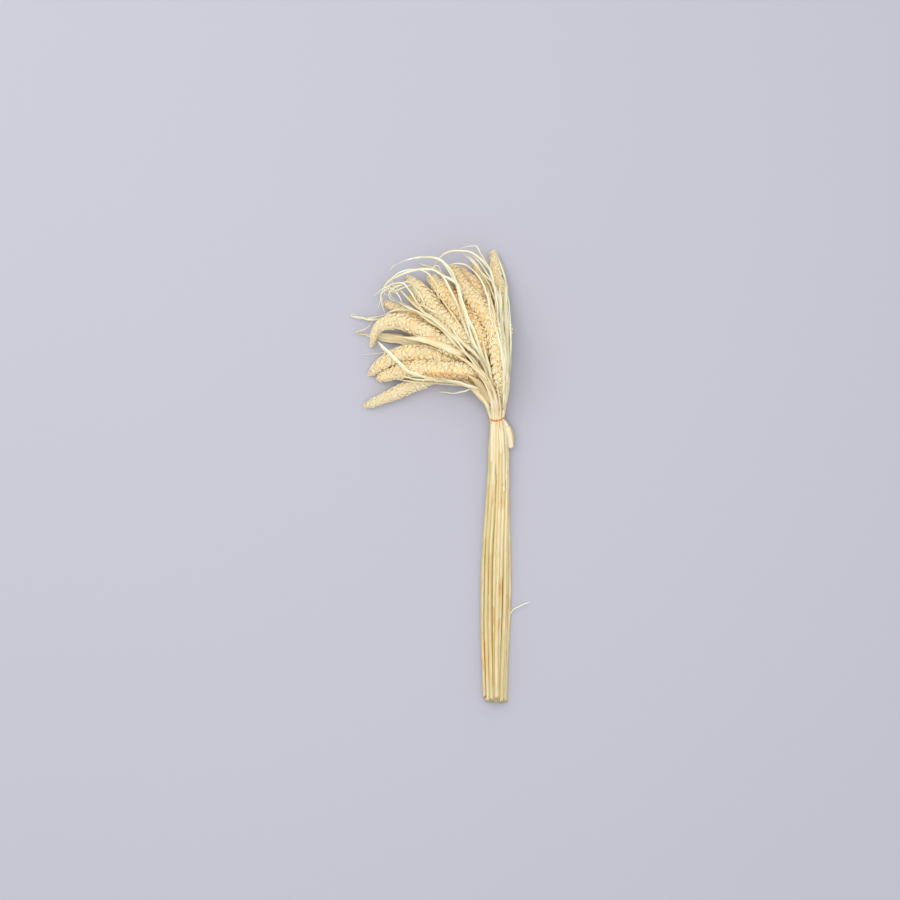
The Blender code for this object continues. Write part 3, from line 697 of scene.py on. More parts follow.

# %% [markdown]
# Now the heads are put together. Each cluster is one of the few kinds, turned onto its axes, and its reach,
# tint and tone are kept for the material. A head's tone runs from greenish below zero to orange above it,
# and the orange is in part painted shade. A few strips, given by the pixels of their two ends, get painted
# shadow: there the tone is raised, so the husks turn orange-brown.

# %% Build the seed heads
FADE_LENGTH = 9 * MM
# A tone for each head: below zero its own greenish colour, above zero an orange that is in part its own
# colour and in part painted shade on the heads that lie underneath.
TONES_AND_SHADE = {"01": -0.2, "02": 0.4, "04": 0.65, "05": 0.8, "06": 0.3, "07": -0.4, "08": 0.6, "09": 0.3,
         "10": -0.3, "13": -0.6, "14": 0.6, "15": 0.6, "16": 0.6, "17": 0.6, "18": 0.5}
# Strips of painted shadow on the heads, where other heads and blades shade them.
PAINTED_SHADOW_STRIPS = (  # two ends and a half width in pixels, then how much is added to the tone
    ((480, 380), (418, 376.5), 4.6, 1.7), ((489, 402), (470, 376), 4.5, 1.7),
    ((446, 283), (474, 322), 3.5, 0.8), ((455, 262), (486, 330), 3.2, 0.3),
    ((410, 312), (452, 336), 2.2, 0.3), ((486, 352), (462, 312), 2.6, 0.8),
)


def picture_place(x, y):
    """The place in the frame, across and along in metres, that a pixel of the picture shows."""
    across = (x - TIE_PIXEL[0]) * PIXEL_SIZE + tie_centre.x
    return np.array([across, (TIE_PIXEL[1] - y) * PIXEL_SIZE + tie_centre.y])


def painted_shadow(places):
    """How far each vertex lies in one of the strips of painted shadow, where the husks turn orange-brown."""
    amount = np.zeros(len(places))
    for (x, y), (far_x, far_y), half_width, strength in PAINTED_SHADOW_STRIPS:
        foot, tip = picture_place(x, y), picture_place(far_x, far_y)
        run = (tip - foot) / np.linalg.norm(tip - foot)
        along = (places[:, :2] - foot) @ run
        beside = np.abs((places[:, :2] - foot) @ (-run[1], run[0])) / PIXEL_SIZE
        ends = ease(along / FADE_LENGTH) * ease((np.linalg.norm(tip - foot) - along) / FADE_LENGTH)
        amount = np.maximum(amount, strength * ends * ease((half_width + 1.2 - beside) / 2.4))
    return amount


def build_head(node, line, rng):
    number = node.split("_")[1]
    places, triangles = head_core(line)
    all_places, all_triangles = [places], [triangles]
    reach, tint = [np.full(len(places), CORE_SHARE)], [np.full(len(places), 0.5)]
    count = len(places)
    for axes, place, middle, size in cluster_places(line, rng):
        shape, corners, tints = clusters[rng.integers(CLUSTER_KINDS)]
        standing = shape @ axes.T + place
        all_places.append(standing)
        all_triangles.append(corners + count)
        reach.append(np.linalg.norm(standing - middle, axis=1) / size)
        tint.append(np.where(tints == BRISTLE_TINT, 0.1, (tints + rng.uniform()) % 1.0))
        count += len(shape)
    places = above_floor(np.vstack(all_places))
    mesh = mesh_from_arrays("millet_head_" + number, places, np.vstack(all_triangles))
    # The tone: the head's own colour and painted shade, raised by painted shadow in the strips.
    tone = TONES_AND_SHADE.get(number, 0.0) + painted_shadow(places)
    keep_values(mesh, reach=np.concatenate(reach), tint=np.concatenate(tint), tone=tone)
    dress(add_object(mesh.name, mesh), node, grain_material)
    return len(mesh.polygons)


head_rng = np.random.default_rng(21)
head_faces = [build_head(node, line, head_rng) for node, line in lines.items() if "head" in node]
print(f"{len(head_faces)} heads, {sum(head_faces)} triangles, at most {max(head_faces)} in one")

# %% [markdown]
# A stem is a culm, the hollow stalk itself, wrapped in leaf sheaths. Each sheath starts at a joint, a
# slightly swollen ring, and is rolled round the culm, so one of its edges makes a low step along the stem.
# It ends before the next joint, and there a hand's width or less of bare culm shows, more golden than the
# sheath. Near the tie the sheaths are pale, and towards the cut ends they are yellower, with olive and
# brown streaks. The cut end is hollow: its face is inset and pushed in, and painted dark as painted shade
# inside the hollow.

# %% Stem material
SHEATH_PALE = screen_colour(238, 221, 178)
SHEATH_STRAW = screen_colour(218, 202, 156)
CULM_GOLD = screen_colour(224, 196, 138)
STRAW_OLIVE = screen_colour(194, 184, 122)
STRAW_BROWN = screen_colour(190, 148, 92)
PATCH_ORANGE = screen_colour(208, 150, 80)
# Painted shade: the dark of the sunk face at the cut end stands for the shade inside the hollow stem.
HOLLOW_PAINTED_SHADE = screen_colour(120, 92, 56)


def fibres_along(tree, fineness, stretched):
    """The fibre masks of a piece that keeps its straight place and a shift of its own."""
    return node_in(
        tree, "ShaderNodeGroup", {"node_tree": fibre_group}, Straight=attribute(tree, "straight", "Vector"),
        Fineness=fineness, Stretch=stretched, Shift=attribute(tree, "shift"),
    ).outputs


stem_material, tree, shader = start_material("straw_stem", 0.46)
fibres, veins = fibres_along(tree, 650.0, 0.03), fibres_along(tree, 420.0, 0.012)
sheath_colour = mix(tree, attribute(tree, "height_up"), SHEATH_STRAW, SHEATH_PALE)
colour = mix(tree, attribute(tree, "wrapped"), CULM_GOLD, sheath_colour)
colour = laid_over(tree, colour, (
    (fibres["Streaks"], 0.5, 0.8, 0.5, SHEATH_PALE),
    (fibres["Patches"], 0.4, 0.8, attribute(tree, "olive"), STRAW_OLIVE),
    (fibres["Height"], 0.58, 0.85, attribute(tree, "browning"), STRAW_BROWN),
))
colour = mix(tree, times(tree, attribute(tree, "joint"), 0.5), colour, STRAW_BROWN)
colour = laid_over(tree, colour, [(veins["Streaks"], 0.56, 0.7, 0.6, STRAW_OLIVE)])
patch = times(tree, attribute(tree, "patch"), stretch(tree, fibres["Streaks"], 0.0, 0.5))
colour = mix(tree, patch, colour, PATCH_ORANGE)
# Painted shade inside the hollow cut end.
colour = mix(tree, attribute(tree, "inside"), colour, HOLLOW_PAINTED_SHADE)
tree.links.new(colour, shader.inputs["Base Color"])
bump(tree, shader, fibres["Height"], 0.4, 0.2 * MM)
print("material:", stem_material.name)

# %% [markdown]
# A few orange-brown patches on the stems catch the eye in the photograph. They are weathered strips of old
# sheath. Each is given by the pixels that it spans, and colours whichever stem lies there, on its upper
# side.

# %% Build the stems
STEM_SIDES = 20
STEM_RING_STEP = 4 * MM
WALL_SHARE = 0.35
HOLLOW_DEPTH = 5 * MM
STRAIGHT_PART_GAIN = 0.13
MOST_JOINTS = 12
SHEATH_EDGE = 2.5 * MM
RAGGED = 4 * MM
JOINT_WIDTH = 2.0 * MM
JOINT_SWELL = 0.1
RIB_HEIGHT = 0.02
PATCHES = (  # left and right edge, upper and lower end in pixels, strength
    (498.0, 503.6, 582, 600, 0.6), (492.0, 494.9, 606, 628, 0.65), (498.2, 500.8, 617, 633, 0.5),
    (486.0, 488.0, 590, 640, 0.3), (487.0, 489.0, 484, 524, 0.5), (496.2, 497.8, 516, 542, 0.45),
    (508.0, 510.4, 488, 520, 0.4), (498.4, 499.8, 500, 514, 0.4), (484.6, 487.0, 640, 690, 0.3),
    (498.6, 501.0, 421, 432, 0.6), (493.5, 496.0, 478, 520, 0.25), (497.0, 499.2, 470, 500, 0.25),
    (492.0, 494.0, 632, 690, 0.45), (488.0, 491.0, 568, 584, 0.45),
)


def patch_strength(places, height_over_middle):
    """How strongly each vertex is coloured by the orange patches."""
    strength = np.zeros(len(places))
    for left, right, upper, lower, amount in PATCHES:
        low, high = picture_place(left, lower), picture_place(right, upper)
        inside = (places[:, 0] > low[0]) & (places[:, 0] < high[0])
        fade = ease((places[:, 1] - low[1]) / FADE_LENGTH) * ease((high[1] - places[:, 1]) / (4 * MM))
        strength = np.maximum(strength, amount * inside * fade)
    return strength * ease(0.5 + height_over_middle / (1.5 * MM))


def build_stem(node, line, rng):
    number = node.split("_")[1]
    bm = straight_rod(STEM_SIDES, round(line.length / STEM_RING_STEP))
    cut_face = min((f for f in bm.faces if len(f.verts) > 4), key=lambda f: f.calc_center_median().z)
    bmesh.ops.inset_individual(bm, faces=[cut_face], thickness=WALL_SHARE)
    hollow = bm.verts.layers.float.new("inside")
    for vertex in cut_face.verts:
        vertex.co.z = HOLLOW_DEPTH / line.length
        vertex[hollow] = 1.0
    piece = piece_from_bmesh(bm, "straw_stem_" + number)
    mesh = piece.data
    straight = vertex_places(mesh)
    share = straight[:, 2]
    along = share * line.length
    angle = np.arctan2(straight[:, 1], straight[:, 0])
    inward = np.hypot(straight[:, 0], straight[:, 1])
    place, ahead, side, up, size = line.at(share)

    gaps = rng.uniform(95, 150, MOST_JOINTS) * MM
    joints = np.cumsum(gaps) - gaps[0] - rng.uniform(10, 90) * MM
    below = np.clip(np.searchsorted(joints, along) - 1, 0, len(joints) - 1)
    swell = sum(np.exp(-(((along - at) / JOINT_WIDTH) ** 2)) for at in joints)
    cover = rng.uniform(0.55, 0.99, MOST_JOINTS)
    start_angle = rng.uniform(0, 2 * np.pi, MOST_JOINTS)
    ragged = RAGGED * np.cos(angle - start_angle[below] * 2)
    sheath_end = joints[below] + cover[below] * gaps[below] + ragged
    wrapped = ease((sheath_end - along) / SHEATH_EDGE)
    seam = start_angle[below] + 0.35 * waves(along / 0.15, rng)
    rolled = ((angle - seam) % (2 * np.pi)) / (2 * np.pi)
    ribs = RIB_HEIGHT * np.sin(angle * rng.integers(6, 9) + rng.uniform(0, 6))
    girth = 0.95 + ribs + JOINT_SWELL * swell + wrapped * (0.02 + 0.12 * rolled)
    girth *= 1 + rng.uniform(0, 0.08) * np.sin(2 * angle + rng.uniform(0, 6))
    straight_part = ease((tie_centre.y - 15 * MM - place[:, 1]) / (120 * MM))
    girth *= 1 + STRAIGHT_PART_GAIN * straight_part + 0.03 * waves(along / 0.06, rng)
    radius = (size * girth * inward)[:, None]
    slant = np.cos(angle - rng.uniform(0, 6)) * inward * (share < 0.5 * HOLLOW_DEPTH / line.length)
    cut = ahead * (slant * rng.uniform(0.2, 1.6) * MM)[:, None]
    places = above_floor(place + toward(side, up, angle[:, None]) * radius + cut)
    set_places(mesh, places)
    keep_values(
        mesh,
        straight=np.column_stack([straight[:, :2] * size[:, None], along]),
        shift=rng.uniform(0, 9),
        wrapped=wrapped,
        height_up=ease((share - 0.15) / 0.5) * rng.uniform(0.75, 1),
        olive=rng.uniform(0.1, 0.9),
        browning=rng.uniform(0.15, 0.9) * (1 - 0.75 * ease((share - 0.3) / 0.4)),
        joint=np.clip(swell, 0, 1) * (1 - wrapped * 0.5),
        patch=patch_strength(places, places[:, 2] - place[:, 2]),
    )
    mesh.shade_smooth()
    dress(piece, node, stem_material)
    return len(mesh.polygons)


stem_rng = np.random.default_rng(5)
stem_faces = [build_stem(node, line, stem_rng) for node, line in lines.items() if "stem" in node]
print(f"{len(stem_faces)} stems, {sum(stem_faces)} faces")

# %% [markdown]
# A dry blade is a thin strip with a sunk midrib. As it dries it folds along the midrib, rolls its edges
# in, twists, and often tears along its veins into narrower ribbons. The strip is laid along the blade's
# line with the turn that the frame gives it. Torn blades are made from two strips that wander apart. A
# Solidify modifier gives them their thickness.

# %% Blade material
BLADE_PALE = screen_colour(247, 245, 221)
BLADE_GREEN = screen_colour(222, 222, 178)
BLADE_VEIN = screen_colour(196, 182, 126)
BLADE_TAN = screen_colour(224, 196, 144)
BLADE_SPOT = screen_colour(196, 158, 102)

blade_material, tree, shader = start_material("dry_blade", 0.55)
fibres, veins = fibres_along(tree, 800.0, 0.02), fibres_along(tree, 420.0, 0.012)
colour = mix(tree, stretch(tree, fibres["Streaks"], 0.15, 0.7), BLADE_GREEN, BLADE_PALE)
colour = mix(tree, attribute(tree, "tan"), colour, BLADE_TAN)
colour = laid_over(tree, colour, (
    (fibres["Patches"], 0.3, 0.0, 0.4, BLADE_TAN), (fibres["Height"], 0.75, 1.0, 0.35, BLADE_SPOT),
    (veins["Streaks"], 0.56, 0.7, 0.55, BLADE_VEIN),
))
colour = mix(tree, times(tree, attribute(tree, "midrib"), 0.4), colour, BLADE_PALE)
tree.links.new(colour, shader.inputs["Base Color"])
bump(tree, shader, fibres["Height"], 0.45, 0.2 * MM)
print("material:", blade_material.name)

# %% [markdown]
# One function makes every blade. A grid, or two for a torn one, is laid along the line, and slow waves turn,
# lift and ripple it. The foot stays calm, because it is held in the bundle.

# %% A strip along a line
BLADE_SKIN = 0.3 * MM
BLADE_ALONG_STEP = 2.5 * MM
CALM_FOOT = 0.25
RIPPLE_HEIGHT = 0.12
RIPPLE_LENGTH = 0.03
THINNEST_BLADE = 0.25 * MM
WHOLE = ((-1, 1),)
TORN_IN_TWO = ((-1, -0.04), (0.04, 1))


def blade_piece(name, line, rng, strips=WHOLE, fold=0.35, twist=0.5, tan=0.0, wander=0.25, waver=0.5,
                slim=0.8, least=0.7, taper=0.14):
    """Strips laid along a line: folded on the midrib, twisted, with rippled edges.

    The widths are the line's, made slimmer, but no less than the least one, in mm, up to the tapered tip.
    """
    rings = max(8, round(line.length / BLADE_ALONG_STEP))
    bm = bmesh.new()
    for left, right in strips:
        columns = 6 if len(strips) == 1 else 3
        spread = Matrix.Translation(((left + right) / 2, 0, 0.5)) @ Matrix.Diagonal((right - left, 1, 1, 1))
        bmesh.ops.create_grid(bm, x_segments=columns, y_segments=rings, size=0.5,
                              matrix=spread @ Matrix.Rotation(np.pi / 2, 4, "X"))
    piece = piece_from_bmesh(bm, name)
    mesh = piece.data
    straight = vertex_places(mesh)
    across, share = straight[:, 0], straight[:, 2]
    along = share * line.length
    place, ahead, side, up, size = line.at(share)
    size = np.maximum(size * slim, least * MM) * (1 - ease((share - 1 + taper) / taper)) + THINNEST_BLADE
    strip = np.searchsorted([right + 0.01 for _, right in strips], across)
    loosened = ease(share / CALM_FOOT)
    turn = twist * waves(share, rng, finest=2.2) * loosened
    sideways, lift = np.zeros_like(share), np.zeros_like(share)
    for k in range(len(strips)):
        mine = strip == k
        if len(strips) > 1:
            sideways[mine] = wander * (waves(along / 0.11, rng) * loosened)[mine]
            lift[mine] = wander * (waves(along / 0.09, rng) * loosened)[mine]
    edge = np.abs(across)
    ripple = RIPPLE_HEIGHT * waves(along / RIPPLE_LENGTH + np.sign(across), rng) * edge**2
    lift += fold * edge**1.3 + ripple + 0.7 * np.abs(np.sin(turn))
    width = 1 + 0.06 * waves(along / 0.02 + np.sign(across) * 5, rng)
    waver_side = side * (waver * MM * waves(along / 0.07, rng) * loosened)[:, None]
    turned_side = toward(side, up, turn[:, None])
    turned_up = toward(up, -side, turn[:, None])
    places = place + waver_side + turned_side * ((across * width + sideways) * size)[:, None]
    set_places(mesh, above_floor(places + turned_up * (lift * size)[:, None]))
    keep_values(
        mesh,
        straight=np.column_stack([across * size, np.zeros(len(size)), along]),
        shift=rng.uniform(0, 9) + strip * 1.7,
        midrib=np.clip(1 - edge * 3.2, 0, 1) * (len(strips) == 1),
        tan=np.clip(tan + 0.15 * waves(along / 0.1, rng), 0, 1),
    )
    mesh.shade_smooth()
    skin = piece.modifiers.new("thickness", "SOLIDIFY")
    skin.thickness = BLADE_SKIN
    skin.offset = 0
    return piece


print(f"a blade has a skin of {BLADE_SKIN / MM:.1f} mm")

# %% [markdown]
# The photograph shows how the single blades differ: how much each is twisted, folded, torn or browned, and
# how wide it is. Three have a sharp crease, and their lines are drawn again by the pixels that they pass.

# %% Build the blades
BLADE_LOOKS = {
    "01": dict(twist=0.7, slim=0.65, least=0.95), "02": dict(twist=0.8, slim=0.6, least=0.9, tan=0.1),
    "03": dict(twist=0.9, least=0.75, slim=0.75, tan=0.25),
    "04": dict(twist=0.7, slim=0.5, least=0.8, tan=0.2),
    "05": dict(twist=0.7, slim=0.5, least=0.9, tan=0.1), "06": dict(strips=TORN_IN_TWO, tan=0.2, slim=0.7),
    "07": dict(slim=0.8, least=0.9), "08": dict(strips=TORN_IN_TWO, tan=0.15, slim=0.8),
    "09": dict(strips=TORN_IN_TWO, tan=0.3, slim=0.8), "10": dict(tan=0.35, slim=0.6, least=1.2),
    "11": dict(tan=0.5, slim=0.65, least=1.2), "12": dict(twist=0.7, slim=0.6, least=1.05, fold=0.2),
    "13": dict(tan=0.45, twist=0.2, fold=0.1, slim=1.15),
    "14": dict(twist=0.3, slim=0.7, least=2.1, fold=0.2, taper=0.08),
    "15": dict(tan=0.3, twist=0.8, slim=0.6), "16": dict(slim=0.75, least=0.5, twist=0.3),
    "17": dict(fold=0.15, twist=0.15, tan=0.55, slim=1.0),
    "18": dict(tan=0.6, fold=0.1, twist=0.05, slim=0.85, least=2.6, taper=0.04),
    "19": dict(twist=0.8, least=1.2, slim=0.7, tan=0.05),
    "20": dict(twist=0.8, least=0.8, slim=0.5, tan=0.25),
    "21": dict(slim=0.4, least=0.35, fold=0.1, tan=0.15),
    "22": dict(strips=TORN_IN_TWO, wander=0.2, slim=0.75),
    "23": dict(fold=0.2, twist=0.1, tan=0.55, slim=1.0),
}

# Blades with a sharp crease: a lift at half way in mm, then the pixels that they pass from foot to tip
CREASED = {
    "14": (3.5, ((488, 393), (475, 388), (462, 384), (447, 380.6), (430, 378.2), (416, 374.6), (407.5, 371),
                 (404.4, 368.6), (402.2, 366), (395, 358.8), (386, 350), (377, 341))),
    "21": (0.0, ((508.6, 630), (509.4, 622), (510.8, 615.6), (513.6, 611), (519.6, 608), (525.6, 605),
                 (530.6, 603.6))),
    "18": (0.0, ((504, 421), (507, 425.6), (510, 430.6), (511.8, 436), (512.2, 442), (512.2, 449))),
}


def creased_line(line, lift, pixels):
    """A line that passes the pixels, with the heights and half widths of another line."""
    flat = np.array([picture_place(*pixel) for pixel in pixels])
    gone = np.concatenate([[0], np.cumsum(np.linalg.norm(np.diff(flat, axis=0), axis=1))])
    place, _, _, _, size = line.at(gone / gone[-1])
    height = place[:, 2] + lift * MM * np.sin(np.pi * gone / gone[-1])
    return Line(np.column_stack([flat, height]), size)


blade_rng = np.random.default_rng(8)
for node, line in lines.items():
    if "leaf" in node:
        number = node.split("_")[1]
        if number in CREASED:
            line = creased_line(line, *CREASED[number])
        blade = blade_piece("dry_blade_" + number, line, blade_rng, **BLADE_LOOKS.get(number, {}))
        dress(blade, node, blade_material)
print("blades:", sum("leaf" in node for node in lines))

# %% [markdown]
# The tie is a thin orange band. Its circle leans, so the axis of the ring is found from the solid itself:
# it is the direction in which the vertices spread least. A small circle is spun round that axis. The band
# rides up a little at both sides of the bundle, so its ends in the picture lie higher than its middle, and
# a small knot sits at the right, painted dark as painted shade where the band wraps round.

# %% Tie
TIE_SIDES = 12
TIE_STEPS = 96
SIDE_RISE = 1.9 * MM
MIDDLE_DROP = 0.4 * MM
KNOT_RADIUS = 1.0 * MM

tie_vertices = np.array([v.co[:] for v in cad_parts["tie"].data.vertices])
ring_middle = (tie_vertices.max(axis=0) + tie_vertices.min(axis=0)) / 2
_, _, directions = np.linalg.svd(tie_vertices - tie_vertices.mean(axis=0), full_matrices=False)
ring_axis = Vector(directions[2])
reach = np.linalg.norm(tie_vertices - ring_middle, axis=1)
cord_radius = (reach.max() - reach.min()) / 2
ring_radius = (reach.max() + reach.min()) / 2

tie_material, tree, shader = start_material("tie_band_skin", 0.42)
speckle = object_noise(tree, 500.0, 3.0)
band = mix(tree, stretch(tree, speckle, 0.35, 0.7), screen_colour(194, 108, 44), screen_colour(220, 142, 70))
# Painted shade: the knot at the right end is coloured dark for the shade where the band wraps round.
band = mix(tree, attribute(tree, "shaded_knot"), band, screen_colour(92, 82, 58))
tree.links.new(band, shader.inputs["Base Color"])
bump(tree, shader, speckle, 0.3, 0.2 * MM)

bm = bmesh.new()
upright = Matrix.Translation((ring_radius, 0, 0)) @ Matrix.Rotation(np.pi / 2, 4, "X")
bmesh.ops.create_circle(bm, segments=TIE_SIDES, radius=cord_radius, matrix=upright)
bmesh.ops.spin(bm, geom=bm.verts[:] + bm.edges[:], cent=(0, 0, 0), axis=(0, 0, 1), angle=2 * np.pi,
               steps=TIE_STEPS, use_merge=True)
bmesh.ops.recalc_face_normals(bm, faces=bm.faces)
lay = Matrix.Translation(ring_middle) @ ring_axis.to_track_quat("Z", "Y").to_matrix().to_4x4()
bmesh.ops.transform(bm, matrix=lay, verts=bm.verts)
for vertex in bm.verts:
    outward = (vertex.co.x - ring_middle[0]) / ring_radius
    vertex.co.y += SIDE_RISE * outward**2 - MIDDLE_DROP
right_end = max(bm.verts, key=lambda v: v.co.x).co.copy()
shaded_knot_layer = bm.verts.layers.float.new("shaded_knot")
squash = Matrix.Translation(right_end + Vector((-0.4, 0.5, 0.6)) * MM) @ Matrix.Diagonal((1, 1.3, 0.9, 1))
shaded_knot = bmesh.ops.create_icosphere(bm, subdivisions=2, radius=KNOT_RADIUS, matrix=squash)
for vertex in shaded_knot["verts"]:
    vertex[shaded_knot_layer] = 1.0
tie_piece = piece_from_bmesh(bm, "tie_band")
tie_piece.data.shade_smooth()
dress(tie_piece, "tie", tie_material)
print(f"tie: ring of {ring_radius / MM:.1f} mm, cord of {cord_radius / MM:.2f} mm")

# %% [markdown]
# Round the blades of the frame hang many thinner ribbons and wisps, and flat sheaths clasp the stems on both
# sides of the tie. Their lines are drawn by the pixels that they pass. Their heights are found by dropping
# a ray on the solids at each place: a dry strip is stiff, so it bridges small hollows and comes down slowly.

# %% Lay a strip over the bundle
LAID_STEP = 3 * MM
LAID_GAP = 0.9 * MM
STIFF_SPAN = 5
STEEPEST = 0.4
FOOT_CLIMB = 1.3
BAND_SQUEEZE = 0.2 * MM
TIE_HOLD = 3 * MM
TIE_RELEASE = 0.25

corner_places, corner_numbers = [], []
for node in lines:
    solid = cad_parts[node]
    first = len(corner_places)
    corner_places += [v.co[:] for v in solid.data.vertices]
    corner_numbers += [[first + i for i in face.vertices] for face in solid.data.polygons]
solids_below = BVHTree.FromPolygons(corner_places, corner_numbers)


def top_at(x, y):
    """The height of the highest solid over a place of the floor."""
    hit = solids_below.ray_cast(Vector((x, y, 1)), Vector((0, 0, -1)))[0]
    return hit.z if hit else 0.0


def smooth_run(values, span, choose):
    """Each value replaced by the highest or the mean of those near it."""
    padded = np.pad(values, span, mode="edge")
    windows = np.lib.stride_tricks.sliding_window_view(padded, 2 * span + 1)
    return choose(windows, axis=1)


def height_under_tie(points):
    """The most height at which a strip still passes inside the band. Away from the band it rises freely."""
    inner = ring_radius - cord_radius - BAND_SQUEEZE
    beside = np.clip(points[:, 0] - ring_middle[0], -0.97 * inner, 0.97 * inner)
    away = np.abs((points - ring_middle) @ np.array(ring_axis))
    beyond = np.maximum(away - TIE_HOLD, 0)
    return ring_middle[2] + np.sqrt(inner**2 - beside**2) + TIE_RELEASE * beyond + beyond**2 / (40 * MM)


def laid_line(pixels, widest, narrow_from=0.5, foot_share=0.6, gap=LAID_GAP, under_tie=False):
    """A line that lies on the solids and passes the pixels, and its half widths."""
    flat = np.array([[*picture_place(*pixel), 0.0] for pixel in pixels])
    drawn = Line(flat, np.zeros(len(flat)))
    count = max(6, round(drawn.length / LAID_STEP))
    points = drawn.at(np.linspace(0, 1, count))[0]
    bare = np.array([top_at(x, y) for x, y, _ in points]) + gap
    tops = smooth_run(smooth_run(bare, STIFF_SPAN, np.max), STIFF_SPAN, np.mean)
    tops = np.minimum(tops, bare[0] + FOOT_CLIMB * np.linspace(0, drawn.length, count))
    for k in range(1, count):
        tops[k] = max(tops[k], tops[k - 1] - STEEPEST * drawn.length / count)
    points[:, 2] = tops
    if under_tie:
        points[:, 2] = np.minimum(tops, height_under_tie(points))
    share = np.linspace(0, 1, count)
    sizes = widest * MM * (foot_share + (1 - foot_share) * ease(share / 0.25))
    sizes *= 1 - ease((share - narrow_from) / (1.02 - narrow_from))
    return Line(points, sizes)


print("the bundle is", round(top_at(tie_centre.x, tie_centre.y) / MM, 1), "mm high at the tie")

# %% [markdown]
# Each loose blade has its half width in mm, the pixels that it passes from its foot to its tip, and the ways
# in which it differs from a plain blade.

